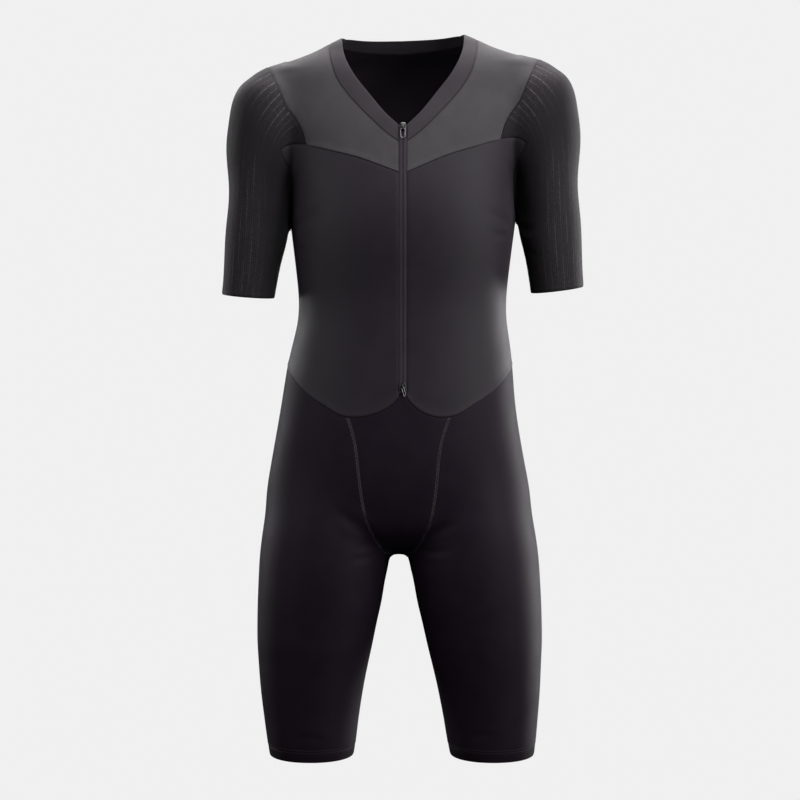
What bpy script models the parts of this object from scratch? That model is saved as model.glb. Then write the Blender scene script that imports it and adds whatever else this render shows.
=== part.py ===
"""A short-sleeved one-piece cycling skinsuit, worn form, as cut and sewn cloth panels with a two-way front zip.

Work is in millimetres until a mesh is made. X runs across the body, the front faces -Y and Z is up. The origin is
the middle of the neck opening, level with the sides of the neck. Every seam is a line on one general figure, and
every panel is a grid laid between seams, so that neighbours share their edges.
"""

import bpy
import numpy as np
from mathutils import Matrix, Vector

MM = 0.001
CLOTH = 1.2  # wall of a cloth panel
BAND_CLOTH = 1.5  # wall of the neckband and the leg bands
SEAM_GAP = 0.36  # free space between two panels at a seam
RIB_HEIGHT = 0.45
RIB_COLUMNS = 4  # fine columns to one coarse column of the sleeve, two to a rib
LEG_COLUMNS = 2

# How the suit hangs on its wearer: the shoulder line leans and the hips sit a little aside.
SHOULDER_LEAN = np.tan(np.radians(1.7))
LEAN_HEIGHTS = (-500.0, -260.0)
ASIDE_HEIGHTS = (-1000.0, -860.0, -640.0, -480.0, -400.0, -300.0, 20.0)
ASIDE = (0.0, -2.8, -4.9, -4.4, -0.5, 1.4, 1.4)
PLUMB_HEIGHTS = (-570.0, -485.0)  # above these the zip keeps hanging straight
PLUMB_WIDTH = 45.0

# The general figure. Each row is a level cut: height, middle in x, half width, depth of the widest line, front, back.
TORSO = (
    (40.0, 0.0, 60.0, 26.0, -16.0, 62.0),
    (14.0, 0.0, 70.0, 24.0, -16.0, 63.0),
    (1.4, 0.0, 84.0, 20.0, -19.0, 65.0),
    (-5.5, 0.0, 99.0, 18.0, -25.0, 68.0),
    (-13.6, 0.0, 115.0, 17.0, -31.0, 72.0),
    (-21.7, 0.0, 134.5, 16.0, -38.0, 76.0),
    (-30.0, 0.0, 158.0, 15.0, -44.0, 81.0),
    (-40.0, 0.0, 173.0, 14.0, -51.0, 86.0),
    (-57.0, 0.0, 177.0, 12.0, -60.0, 92.0),
    (-80.0, 0.0, 175.0, 10.0, -69.0, 98.0),
    (-110.0, 0.0, 168.0, 8.0, -81.0, 104.0),
    (-145.0, 0.0, 157.0, 6.0, -91.5, 109.0),
    (-181.0, 0.0, 151.5, 5.0, -100.0, 112.0),
    (-220.0, 0.0, 150.0, 5.0, -106.0, 112.0),
    (-256.0, 0.0, 150.5, 5.0, -106.5, 109.0),
    (-304.0, 0.0, 147.8, 4.0, -102.0, 100.0),
    (-359.0, 0.0, 142.5, 2.0, -96.0, 89.0),
    (-387.0, 0.0, 143.6, 2.0, -95.0, 86.0),
    (-414.0, 0.0, 148.4, 2.0, -94.5, 86.0),
    (-442.0, 0.0, 153.6, 3.0, -95.0, 89.0),
    (-497.0, 0.0, 160.6, 4.0, -97.0, 98.0),
    (-553.0, 0.0, 169.5, 5.0, -98.0, 111.0),
    (-609.0, 0.0, 178.0, 6.0, -95.0, 118.0),
    (-645.0, 0.0, 176.0, 8.0, -89.0, 118.0),
    (-672.0, 0.0, 158.0, 12.0, -79.0, 109.0),
    (-690.0, 0.0, 128.0, 16.0, -62.0, 94.0),
    (-701.0, 0.0, 92.0, 18.0, -42.0, 76.0),
    (-708.0, 0.0, 48.0, 20.0, -18.0, 54.0),
)
ARM = (
    (-37.0, 173.0, 13.0, 14.0, 0.0, 28.0),
    (-41.0, 174.0, 23.0, 13.0, -11.0, 37.0),
    (-47.0, 176.0, 29.8, 12.0, -20.0, 44.0),
    (-54.0, 179.0, 37.0, 11.0, -29.0, 51.0),
    (-66.0, 182.0, 45.0, 9.0, -40.0, 58.0),
    (-82.0, 184.0, 49.8, 8.0, -47.0, 62.0),
    (-104.0, 185.0, 53.0, 7.0, -50.5, 64.0),
    (-140.0, 187.5, 54.6, 6.0, -51.0, 63.0),
    (-167.0, 190.5, 50.6, 5.0, -49.0, 59.0),
    (-194.0, 194.5, 44.4, 4.0, -46.5, 54.0),
    (-222.0, 197.5, 42.0, 3.0, -45.0, 51.0),
    (-249.0, 200.7, 41.6, 3.0, -43.5, 49.0),
    (-277.0, 203.0, 41.3, 2.0, -42.5, 47.0),
    (-304.0, 206.5, 39.0, 2.0, -41.0, 45.0),
    (-331.0, 209.9, 37.2, 2.0, -39.5, 43.5),
    (-352.0, 212.8, 36.6, 2.0, -38.5, 42.5),
    (-380.0, 216.5, 36.4, 2.0, -38.0, 42.0),
)
LEG = (
    (-560.0, 88.0, 58.0, 8.0, -58.0, 78.0),
    (-600.0, 93.0, 76.0, 8.0, -76.0, 98.0),
    (-640.0, 96.0, 85.5, 7.0, -86.0, 111.0),
    (-672.0, 99.0, 88.5, 6.0, -90.0, 112.0),
    (-700.0, 101.7, 90.0, 5.0, -91.0, 109.0),
    (-721.0, 103.8, 90.1, 5.0, -91.0, 106.0),
    (-749.0, 107.6, 88.0, 4.0, -90.0, 101.0),
    (-777.0, 110.8, 86.2, 4.0, -88.0, 96.5),
    (-805.0, 114.4, 83.4, 4.0, -85.0, 92.0),
    (-834.0, 117.6, 80.4, 4.0, -82.0, 87.5),
    (-862.0, 120.2, 76.6, 4.0, -78.0, 82.5),
    (-890.0, 122.6, 72.8, 4.0, -74.0, 77.5),
    (-919.0, 124.2, 68.9, 3.0, -70.0, 72.5),
    (-947.0, 125.1, 65.2, 3.0, -67.0, 68.0),
    (-975.0, 125.6, 61.6, 2.0, -64.0, 63.0),
    (-993.0, 126.0, 58.8, 2.0, -62.0, 60.0),
    (-1015.0, 127.0, 57.0, 2.0, -61.0, 58.0),
)
ROUNDNESS = {"torso": 2.35, "arm": 2.05, "leg": 2.12}
ARMPIT_FILLET = 27.0
CROTCH_FILLET = 26.0
HIP_FILLET = 22.0
ENDS = {"torso": (-709.0, 60.0), "arm": (-385.0, -36.5), "leg": (-1060.0, -560.0)}
HEIGHTS = np.arange(-1070.0, 70.0, 0.5)

# Heights and widths of the zip.
ZIP_HALF = 5.6
ZIP_TOP = -119.5
YOKE_TOP = -141.5
YOKE_FOOT = -181.3
LEG_BAND_TOP = -979.3
LEG_HEM = -992.6
SLEEVE_HEM = (-345.4, -353.0)  # outer and inner side

FORWARD = (0.02, 1.0, 0.02)  # a seam known from the front moves in depth only
STRAIGHT_BACK = (0.0, 1.0, 0.0)

# The zip: heights of the tapes and of the chain behind them, and the half width of the slit between the tapes.
ZIP_DEPTH = -98.0
TAPE, TAPE_SINK = 0.8, 0.3
TAPE_TOP = (-120.0, -121.0, -127.0)  # its outer corner, its inner corner and the foot of the slider's slit
TAPE_FOOT = (-466.0, -476.0, -479.3, -481.6)
POST_SLIT, CHAIN_SLIT = 1.5, 0.3
CHAIN, CHAIN_GAP, CHAIN_HALF = 1.0, 0.5, 2.0
CHAIN_SPREAD = (-134.0, -459.0)
CHAIN_ENDS = (-128.3, -464.2)

# Plates, post and bridge of a slider as (across, down, out) from the zip's face, then the pulls.
SLIDER_TOP, SLIDER_FOOT = -122.6, -470.0
SHIELD = (
    (-2.4, -5.6), (-3.8, -4.7), (-4.4, -3.0), (-4.2, 0.5), (-3.6, 3.8), (-2.4, 5.4),
    (2.4, 5.4), (3.6, 3.8), (4.2, 0.5), (4.4, -3.0), (3.8, -4.7), (2.4, -5.6),
)
PLATE_FRONT, PLATE_BACK = (0.15, 1.6), (-2.7, -1.45)
POST, POST_MIDDLE = ((-0.9, -0.7), (-0.9, 0.7), (0.9, 0.7), (0.9, -0.7)), -4.3
# half width, upper end, lower end, underside, top
TOP_BRIDGE = (0.9, -2.0, 5.2, 3.4, 4.3)
FOOT_BRIDGE = (0.6, -3.6, 3.4, 3.2, 4.0)
# hinge down, hinge out, half width at the hinge and at the foot, length, wire, swing to the side
TOP_RING = (3.4, 2.5, 3.0, 2.9, 12.4, 1.1, 0.0)
FOOT_RING = (1.7, 2.4, 1.7, 1.1, 11.2, 0.9, 15.0)

# How many steps a seam has. Panels on both sides of it use the same steps.
YOKE_FRONT, CORNER, CAP, BACK_CAP = 10, 4, 10, 5
ARMHOLE_FRONT, SIDE, BACK_SHOULDER, BACK_NECK = 6, 7, 4, 5
WAIST_GUSSET, WAIST_SIDE, WAIST_BACK = 5, 9, 9
YOKE_COLUMNS = YOKE_FRONT + CAP
CAP_ROWS = CORNER + ARMHOLE_FRONT
SLEEVE_ROWS, GUSSET_ROWS, LEG_ROWS = 3, 9, 6


def spline(knots, values, at):
    """A cubic spline through the knots with free ends, straight beyond them."""
    knots, values, at = (np.asarray(v, float) for v in (knots, values, at))
    if knots[0] > knots[-1]:
        knots, values = knots[::-1], values[::-1]
    step = np.diff(knots)
    slope = np.diff(values, axis=0) / step
    count = len(knots)
    matrix = np.eye(count)
    wanted = np.zeros(count)
    rows = np.arange(1, count - 1)
    matrix[rows, rows - 1] = step[:-1]
    matrix[rows, rows] = 2 * (step[:-1] + step[1:])
    matrix[rows, rows + 1] = step[1:]
    wanted[1:-1] = 6 * np.diff(slope)
    bend = np.linalg.solve(matrix, wanted)
    inside = np.clip(at, knots[0], knots[-1])
    cell = np.clip(np.searchsorted(knots, inside) - 1, 0, count - 2)
    left = inside - knots[cell]
    right = knots[cell + 1] - inside
    width = step[cell]
    curve = (bend[cell] * right**3 + bend[cell + 1] * left**3) / (6 * width)
    curve += (values[cell] / width - bend[cell] * width / 6) * right
    curve += (values[cell + 1] / width - bend[cell + 1] * width / 6) * left
    low = slope[0] - bend[1] * step[0] / 6
    high = slope[-1] + bend[-2] * step[-1] / 6
    return curve + low * np.minimum(at - knots[0], 0) + high * np.maximum(at - knots[-1], 0)


def soft_min(a, b, width):
    """The smaller of two distances, rounded where they meet."""
    overlap = np.clip(width - np.abs(a - b), 0, None) / width
    return np.minimum(a, b) - overlap**3 * width / 6


def closely_cut(table):
    """The columns of a table at every one of HEIGHTS."""
    rows = np.array(table)
    return np.stack([spline(rows[:, 0], rows[:, c], HEIGHTS) for c in range(1, 6)])


def cut_at(name, z):
    """Middle, half width, depth of the widest line, front and back of a form at some heights."""
    return (np.interp(z, HEIGHTS, column) for column in CUTS[name])


def cut_distance(name, x, y, z):
    """Distance out from the level cuts of a form, measured level from their middle."""
    middle, half, deep, front, back = cut_at(name, z)
    dx, dy = x - middle, y - deep
    across = np.maximum(half, 2.0)
    along = np.where(dy < 0, np.maximum(deep - front, 2.0), np.maximum(back - deep, 2.0))
    power = ROUNDNESS[name]
    share = (np.abs(dx / across) ** power + np.abs(dy / along) ** power) ** (1 / power)
    return np.hypot(dx, dy) * (1 - 1 / np.maximum(share, 1e-3))


def form_distance(name, x, y, z):
    """The same distance, corrected where the form slopes, and cut off at the form's ends."""
    lower = cut_distance(name, x, y, z - 2.0)
    upper = cut_distance(name, x, y, z + 2.0)
    slope = np.clip((upper - lower) / 4.0, -5.0, 5.0)
    foot, top = ENDS[name]
    return np.maximum((upper + lower) / 2 / np.sqrt(1 + slope**2), np.maximum(z - top, foot - z))


def figure(points):
    """How far points lie outside the general figure; zero on it."""
    x, y, z = np.abs(points[..., 0]), points[..., 1], points[..., 2]
    upper = soft_min(form_distance("torso", x, y, z), form_distance("arm", x, y, z), ARMPIT_FILLET)
    legs = soft_min(form_distance("leg", x, y, z), form_distance("leg", -x, y, z), CROTCH_FILLET)
    return soft_min(upper, legs, HIP_FILLET)


def slope_of(points):
    """The gradient of figure()."""
    found = np.empty(points.shape)
    for axis in range(3):
        step = np.zeros(3)
        step[axis] = 0.25
        found[..., axis] = (figure(points + step) - figure(points - step)) / 0.5
    return found


def outward(points):
    """Unit vectors that point out of the figure."""
    slope = slope_of(points)
    return slope / np.linalg.norm(slope, axis=-1, keepdims=True)


def onto(points, rounds=8, freedom=(1.0, 1.0, 1.0)):
    """Moves points onto the figure, mostly along the axes that have freedom."""
    points = np.array(points, float)
    freedom = np.array(freedom)
    for _ in range(rounds):
        slope = slope_of(points)
        push = slope * freedom
        size = np.maximum((push * slope).sum(-1), 0.02)
        step = (figure(points) / size)[..., None] * push
        length = np.linalg.norm(step, axis=-1, keepdims=True)
        points -= step * np.minimum(1.0, 8.0 / np.maximum(length, 1e-9))
    return points


def lengths(line):
    """How far along a line each of its points is."""
    return np.concatenate([[0.0], np.cumsum(np.linalg.norm(np.diff(line, axis=0), axis=1))])


def spread(line, count, ease=0.0):
    """count even steps along a line; ease makes the first steps shorter."""
    run = lengths(line)
    share = np.linspace(0, 1, count + 1)
    share = share * (1 - ease) + share**2 * ease
    return np.stack([np.interp(share * run[-1], run, line[:, c]) for c in range(3)], axis=1)


def seam(knots, count, freedom=(1.0, 1.0, 1.0), ease=0.0):
    """A smooth line through the knots, laid on the figure and cut into count steps. A named knot is a junction."""
    knots = [JUNCTIONS[knot] if isinstance(knot, str) else np.array(knot, float) for knot in knots]
    ends = knots[0], knots[-1]
    knots = np.array(knots)
    run = lengths(knots)
    fine = np.linspace(0, run[-1], 12 * len(knots))
    if len(knots) > 2:
        line = np.stack([spline(run, knots[:, c], fine) for c in range(3)], axis=1)
    else:
        line = spread(knots, len(fine) - 1)
    line = spread(onto(line, 14, freedom), count, ease)
    line[0], line[-1] = ends
    return line


def joined(*lines):
    """Lines end to end, each starting where the last one stopped."""
    return np.concatenate([lines[0], *[line[1:] for line in lines[1:]]])


def mirrored(line):
    """The same points on the other side of the body."""
    return line * (-1.0, 1.0, 1.0)


def whole(half):
    """A line across the body from its right half, which starts on the middle."""
    return joined(mirrored(half)[::-1], half)


def level_loop(name, height, inner, count):
    """A loop round a limb from its inner side, over the front, the outer side and the back."""
    turn = np.linspace(0, 2 * np.pi, 12 * count + 1)
    z = height - np.zeros(turn.shape) if np.isscalar(height) else height(turn)
    middle, half, deep, front, back = cut_at(name, z)
    share = 2 / ROUNDNESS[name]
    cos, sin = np.cos(turn), np.sin(turn)
    x = middle - half * np.sign(cos) * np.abs(cos) ** share
    y = deep - np.where(sin > 0, deep - front, back - deep) * np.sign(sin) * np.abs(sin) ** share
    line = np.stack([x, y, z], axis=1)
    if inner is not None:
        line[0] = line[-1] = inner
    return spread(onto(line, 8), count)


def filled(top, bottom, left, right):
    """A grid between four edges. Rows run from top to bottom, columns from left to right."""
    u = np.linspace(0, 1, len(top))[None, :, None]
    v = np.linspace(0, 1, len(left))[:, None, None]
    grid = (1 - v) * top[None] + v * bottom[None] + (1 - u) * left[:, None] + u * right[:, None]
    grid -= (1 - v) * ((1 - u) * top[0] + u * top[-1]) + v * ((1 - u) * bottom[0] + u * bottom[-1])
    return grid


def relaxed(grid, rounds=40):
    """The grid on the figure with its inner points evened out."""
    grid = onto(grid, 12)
    for turn in range(rounds):
        even = (grid[:-2, 1:-1] + grid[2:, 1:-1] + grid[1:-1, :-2] + grid[1:-1, 2:]) / 4
        grid[1:-1, 1:-1] = onto(even, 2)
    grid[1:-1, 1:-1] = onto(grid[1:-1, 1:-1], 4)
    return grid


def inset(grid, gap):
    """The grid with its four edges drawn in by gap along the surface."""
    moved = grid.copy()
    edges = (
        (np.s_[0, :], np.s_[1, :]),
        (np.s_[-1, :], np.s_[-2, :]),
        (np.s_[:, 0], np.s_[:, 1]),
        (np.s_[:, -1], np.s_[:, -2]),
    )
    for edge, beside in edges:
        line = grid[edge]
        run = np.gradient(line, axis=0)
        side = np.cross(outward(line), run)
        side /= np.linalg.norm(side, axis=1, keepdims=True)
        inward = ((grid[beside] - line) * side).sum(1)
        vote = np.sign(inward)
        vote[vote == 0] = 1
        moved[edge] += gap * side * vote[:, None]
    return moved


def refined(grid, times):
    """The grid with more columns. Its first and last rows stay on straight lines between the shared points."""
    if times == 1:
        return grid
    rows, columns = grid.shape[:2]
    at = np.linspace(0, columns - 1, (columns - 1) * times + 1)
    fine = np.empty((rows, len(at), 3))
    for row in range(rows):
        for c in range(3):
            if row in (0, rows - 1):
                fine[row, :, c] = np.interp(at, np.arange(columns), grid[row, :, c])
            else:
                fine[row, :, c] = spline(np.arange(columns), grid[row, :, c], at)
    fine[1:-1, 1:-1] = onto(fine[1:-1, 1:-1], 4)
    return fine


def eased(value, low, high):
    """0 below low, 1 above high and a smooth rise between."""
    share = np.clip((value - low) / (high - low), 0, 1)
    return share * share * (3 - 2 * share)


def posed(points):
    """The points as the suit hangs on its wearer."""
    x, y, z = points[:, 0], points[:, 1], points[:, 2]
    aside = spline(ASIDE_HEIGHTS, ASIDE, z)
    aside = aside + (1.0 - aside) * np.exp(-((x / PLUMB_WIDTH) ** 2)) * eased(z, *PLUMB_HEIGHTS)
    return np.stack([x + aside, y, z + SHOULDER_LEAN * x * eased(z, *LEAN_HEIGHTS)], axis=1)


def material(name, colour, roughness, metallic=0.0):
    """A plain look, for the pictures of the CAD model only."""
    made = bpy.data.materials.new(name)
    made.use_nodes = True
    shader = made.node_tree.nodes["Principled BSDF"]
    shader.inputs["Base Color"].default_value = (*colour, 1.0)
    shader.inputs["Roughness"].default_value = roughness
    shader.inputs["Metallic"].default_value = metallic
    return made


def solid(name, points, faces, look, smooth=True):
    """A closed mesh object facing out."""
    points = posed(np.asarray(points, float)) * MM
    faces = [tuple(int(i) for i in face) for face in faces]
    corners = [(face[0], face[k], face[k + 1]) for face in faces for k in range(1, len(face) - 1)]
    a, b, c = (points[[corner[k] for corner in corners]] for k in range(3))
    if (np.cross(a, b) * c).sum() < 0:
        faces = [face[::-1] for face in faces]
    mesh = bpy.data.meshes.new(name)
    mesh.from_pydata(points.tolist(), [], faces)
    mesh.materials.append(look)
    mesh.polygons.foreach_set("use_smooth", [smooth] * len(faces))
    mesh.update()
    made = bpy.data.objects.new(name, mesh)
    bpy.context.collection.objects.link(made)
    return made


def slab_mesh(outer, inner):
    """Points and faces of a sheet with a finer outer grid than its inner one."""
    rows, fine, coarse = outer.shape[0], outer.shape[1], inner.shape[1]
    times = (fine - 1) // (coarse - 1)
    points = np.concatenate([outer.reshape(-1, 3), inner.reshape(-1, 3)])
    out = np.arange(rows * fine).reshape(rows, fine)
    inn = rows * fine + np.arange(rows * coarse).reshape(rows, coarse)
    faces = []
    for i in range(rows - 1):
        faces += [(out[i, j], out[i + 1, j], out[i + 1, j + 1], out[i, j + 1]) for j in range(fine - 1)]
        faces += [(inn[i, j], inn[i, j + 1], inn[i + 1, j + 1], inn[i + 1, j]) for j in range(coarse - 1)]
        faces.append((out[i, 0], inn[i, 0], inn[i + 1, 0], out[i + 1, 0]))
        faces.append((out[i, -1], out[i + 1, -1], inn[i + 1, -1], inn[i, -1]))
    for row, order in ((0, 1), (-1, -1)):
        for j in range(coarse - 1):
            half = times // 2
            edge = [out[row, j * times + k] for k in range(times + 1)]
            near, far = inn[row, j], inn[row, j + 1]
            if times == 1:
                fans = [(edge[0], edge[1], far, near)]
            else:
                fans = [(near, edge[k], edge[k + 1]) for k in range(half)]
                fans.append((near, edge[half], far))
                fans += [(far, edge[k], edge[k + 1]) for k in range(half, times)]
            faces += [fan[::order] for fan in fans]
    return points, faces


def panel(name, grid, look, thickness=CLOTH, times=1, ribs=False, sink=0.0):
    """A cloth panel on a grid of the figure. Its inside has half the columns where the outside has ribs."""
    drawn = refined(inset(grid, SEAM_GAP / 2), times)
    facing = outward(drawn)
    drawn = drawn - sink * facing
    outer, inner = drawn.copy(), drawn - thickness * facing
    if ribs:
        outer[1:-1, 1:-1:2] += RIB_HEIGHT * facing[1:-1, 1:-1:2]
        inner = inner[:, ::2]
    points, faces = slab_mesh(outer, inner)
    return solid(name, points, faces, look)


def junctions():
    """Where three or more panels meet, laid on the figure."""
    forward = {
        "neck_zip": (ZIP_HALF, -86, ZIP_TOP),
        "band_zip": (ZIP_HALF, -91, YOKE_TOP),
        "yoke_zip": (ZIP_HALF, -99, YOKE_FOOT),
        "waist_zip": (ZIP_HALF, -95, -482.5),
        "gusset_top": (70.0, -89, -509.6),
        "cap_foot": (131.3, -64, -142.4),
        "corner": (165.5, -47, -149.5),
    }
    around = {
        "neck_back": (0, 66, -3.5),
        "neck_shoulder": (78.0, 42, -0.5),
        "band_shoulder": (93, 46, -9),
        "band_back": (0, 77, -20.5),
        "cap_top": (181.5, 45, -50),
        "cap_back": (163, 74, -122),
        "armpit": (154, 6, -256),
        "waist_side": (153, 9, -446),
        "waist_back": (0, 90, -433),
        "crotch": (1.0, 36, -706),
    }
    made = {name: onto([at], 20, FORWARD)[0] for name, at in forward.items()}
    made.update({name: onto([at], 20)[0] for name, at in around.items()})
    for name in ("neck_back", "band_back", "waist_back"):
        made[name][0] = 0.0
    return made


def seams():
    """Every seam of the right half, by name."""
    made = {}
    made["neck_front"] = seam(
        ("neck_zip", (23.4, -78, -103), (44.2, -66, -78.2), (63.8, -55, -53.3), (76.1, -40, -31.5),
         (81.5, -25, -15.5), (83.6, 0, -1.5), (83.4, 24, 1.0), "neck_shoulder"),
        YOKE_COLUMNS,
    )
    made["neck_back"] = seam(("neck_shoulder", (62.0, 55, -1.5), (33.0, 64, -3), "neck_back"), BACK_NECK)
    made["band_front"] = seam(
        ("band_zip", (21, -88, -130.5), (39.5, -80, -114), (57, -70, -97.0), (77, -57, -74),
         (92, -40, -50), (98.5, -22, -26), (100, 5, -8.5), (99, 26, -6.5), "band_shoulder"),
        YOKE_COLUMNS,
    )
    made["band_back"] = seam(("band_shoulder", (75, 62, -13), (42, 73, -18), "band_back"), BACK_NECK)
    made["yoke_front"] = seam(
        ("yoke_zip", (33.6, -97, -170), (65.4, -93, -158.3), (93.6, -86, -150.9), (115, -76, -145.4), "cap_foot"),
        YOKE_FRONT, FORWARD,
    )
    made["corner"] = seam(("cap_foot", (145, -54, -141.6), (157, -50, -143.4), "corner"), CORNER, FORWARD)
    made["cap_front"] = seam(
        ("cap_foot", (143, -58, -117), (155.5, -50, -89.9), (169, -36, -62), (179, -16, -43), (183.2, 6, -36.5),
         (184, 26, -39), "cap_top"),
        CAP,
    )
    made["cap_back"] = seam(("cap_top", (175, 58, -68), (168, 69, -95), "cap_back"), BACK_CAP)
    made["armhole_front"] = seam(
        ("corner", (162, -44, -160), (155.5, -38, -172), (151.3, -31, -188), (151.6, -20, -215),
         (152.5, -8, -242), "armpit"),
        ARMHOLE_FRONT, (0.6, 1.0, 0.6), 0.35,
    )
    made["armhole_back"] = seam(
        ("cap_back", (159.5, 71, -148), (156, 60, -178), (153.5, 44, -208), (153.0, 25, -236), "armpit"), CAP_ROWS
    )
    made["side"] = seam(("armpit", (149.5, 8, -275), (143, 9, -345), (146, 9, -410), "waist_side"), SIDE)
    made["waist_front"] = seam(
        ("waist_zip", (12.0, -95, -490.8), (24.1, -95, -500.4), (37.6, -94, -506.6), (57.8, -92, -510.2), "gusset_top"),
        WAIST_GUSSET, FORWARD,
    )
    made["waist_side"] = seam(
        ("gusset_top", (80, -86, -507), (91.7, -81, -500.1), (115.1, -68, -485.3), (133.4, -50, -468),
         (145.2, -28, -453.8), "waist_side"),
        WAIST_SIDE,
    )
    made["waist_back"] = seam(("waist_side", (146, 45, -442), (105, 78, -437), (50, 88, -434), "waist_back"), WAIST_BACK)
    made["zip_front"] = seam(("yoke_zip", (ZIP_HALF, -102, -300), "waist_zip"), ARMHOLE_FRONT + SIDE, FORWARD)
    made["zip_yoke"] = seam(("band_zip", "yoke_zip"), BACK_SHOULDER, FORWARD)
    made["shoulder"] = seam(("band_shoulder", (125, 50, -24), (155, 49, -38), "cap_top"), BACK_SHOULDER)
    made["gusset"] = seam(
        ("gusset_top", (63.9, -92, -526), (59.2, -94, -543), (55.8, -95, -563), (53.2, -95, -590), (50, -94, -620),
         (44.5, -88, -650), (34, -75, -677), (21, -48, -698), (8, -5, -708), "crotch"),
        GUSSET_ROWS, (0.4, 1.0, 1.0),
    )
    made["back_rise"] = seam(
        ("waist_back", (0, 98, -490), (0, 112, -555), (0, 118, -615), (0, 110, -665), (0, 82, -698), "crotch"),
        GUSSET_ROWS, (0.0, 1.0, 1.0),
    )
    knee = level_loop("leg", LEG_BAND_TOP, None, WAIST_SIDE + WAIST_BACK)
    made["knee"] = knee
    made["inseam"] = seam(
        ("crotch", (8, 30, -711), (15.5, 22, -726), (21.5, 14, -752), (30, 8, -800), (43.5, 5, -861), (58, 4, -935),
         knee[0]),
        LEG_ROWS, (1.0, 0.3, 0.3),
    )
    return made


def sewn_panels(looks):
    """The cloth pieces of both sides."""
    s = seams()
    yoke = relaxed(filled(s["band_front"], joined(s["yoke_front"], s["cap_front"]), s["zip_yoke"], s["shoulder"]))
    front = relaxed(
        filled(
            joined(s["yoke_front"], s["corner"]),
            joined(s["waist_front"], s["waist_side"]),
            s["zip_front"],
            joined(s["armhole_front"], s["side"]),
        )
    )

    columns = CAP + BACK_CAP
    armpit = JUNCTIONS["armpit"]
    slant = (SLEEVE_HEM[0] - SLEEVE_HEM[1]) / 2
    arm = level_loop("arm", lambda turn: -256.0 + 20.0 * (1 - np.cos(turn)), armpit, columns)
    hem = level_loop("arm", lambda turn: sum(SLEEVE_HEM) / 2 - slant * np.cos(turn), None, columns)
    underarm = seam((armpit, (160.5, 4, -277), (170, 3, -318), hem[0]), SLEEVE_ROWS)
    cap = filled(
        joined(s["cap_front"], s["cap_back"]), arm, joined(s["corner"], s["armhole_front"]), s["armhole_back"]
    )
    sleeve = relaxed(np.concatenate([cap, filled(arm, hem, underarm, underarm)[1:]]))

    columns = WAIST_SIDE + WAIST_BACK
    crotch = JUNCTIONS["crotch"]
    thigh = level_loop("leg", -718.0, crotch, columns)
    seat = filled(joined(s["waist_side"], s["waist_back"]), thigh, s["gusset"], s["back_rise"])
    leg = relaxed(np.concatenate([seat, filled(thigh, s["knee"], s["inseam"], s["inseam"])[1:]]))
    foot = level_loop("leg", LEG_HEM, None, columns)
    ends = np.stack([s["knee"][0], foot[0]])
    band = filled(s["knee"], foot, ends, ends)

    for side, turned in (("left", mirrored), ("right", np.array)):
        panel(f"yoke_{side}", turned(yoke), looks["yoke"])
        panel(f"front_{side}", turned(front), looks["front"])
        panel(f"sleeve_{side}", turned(sleeve), looks["sleeve"], times=RIB_COLUMNS, ribs=True)
        panel(f"leg_{side}", turned(leg), looks["leg"], times=LEG_COLUMNS)
        panel(f"leg_band_{side}", turned(band), looks["leg"], BAND_CLOTH, times=LEG_COLUMNS)

    top = joined(s["band_back"][::-1], s["shoulder"])
    foot = s["waist_back"][::-1]
    edge = joined(s["cap_back"], s["armhole_back"], s["side"])
    back = relaxed(filled(whole(top), whole(foot), mirrored(edge), edge))
    panel("back", back, looks["front"])

    peak = onto(np.array([[0.0, -95.0, -478.7]]), 8, FORWARD)
    top = np.concatenate([mirrored(s["waist_front"])[::-1], peak, s["waist_front"]])
    end = np.linspace(mirrored(crotch), crotch, len(top))
    panel("gusset", relaxed(filled(top, end, mirrored(s["gusset"]), s["gusset"])), looks["leg"])

    neck = joined(s["neck_front"], s["neck_back"])
    outer = joined(s["band_front"], s["band_back"])
    panel("neckband", np.stack([whole(neck[::-1]), whole(outer[::-1])]), looks["band"], BAND_CLOTH)


def zip_parts(looks):
    """Tapes between the front panels, the chain behind them and two sliders with their pulls."""
    spaced = np.linspace(*CHAIN_SPREAD, 13)
    heights = np.concatenate([TAPE_TOP[1:], spaced, TAPE_FOOT[:-1]])
    centre = np.full(len(heights), CHAIN_SLIT)
    centre[:2] = centre[-3:-1] = POST_SLIT
    outer_heights = heights.copy()
    outer_heights[0], outer_heights[-1] = TAPE_TOP[0], TAPE_FOOT[-1]
    edges = ((centre, heights), (ZIP_HALF, outer_heights))
    tape = zip_grid(edges)
    panel("zip_tape_right", tape, looks["tape"], TAPE, sink=TAPE_SINK)
    panel("zip_tape_left", mirrored(tape), looks["tape"], TAPE, sink=TAPE_SINK)
    chain = np.concatenate([CHAIN_ENDS[:1], spaced, CHAIN_ENDS[1:]])
    links = zip_grid(((-CHAIN_HALF, chain), (CHAIN_HALF, chain)))
    panel("zip_chain", links, looks["tape"], CHAIN, sink=TAPE_SINK + TAPE + CHAIN_GAP)
    for name, height, flip, bridge, ring in (
        ("top", SLIDER_TOP, 1.0, TOP_BRIDGE, TOP_RING),
        ("bottom", SLIDER_FOOT, -1.0, FOOT_BRIDGE, FOOT_RING),
    ):
        frame = zip_frame(height)
        outline = [(x, down * flip) for x, down in SHIELD]
        body = joined_solids(
            f"slider_{name}",
            [
                prism(outline, *PLATE_FRONT),
                prism(outline, *PLATE_BACK),
                prism([(x, (POST_MIDDLE + down) * flip) for x, down in POST], -2.0, 1.0),
                bridge_points(bridge),
            ],
            frame,
            looks["metal"],
        )
        body.data.polygons.foreach_set("use_smooth", [False] * len(body.data.polygons))
        points, faces = ring_mesh(ring)
        pull = solid(f"pull_{name}", placed(points, frame), faces, looks["metal"])
        hinge = hinge_of(name)
        pull.data.transform(Matrix.Translation(-Vector(hinge * MM)))
        pull.location = hinge * MM


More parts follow.
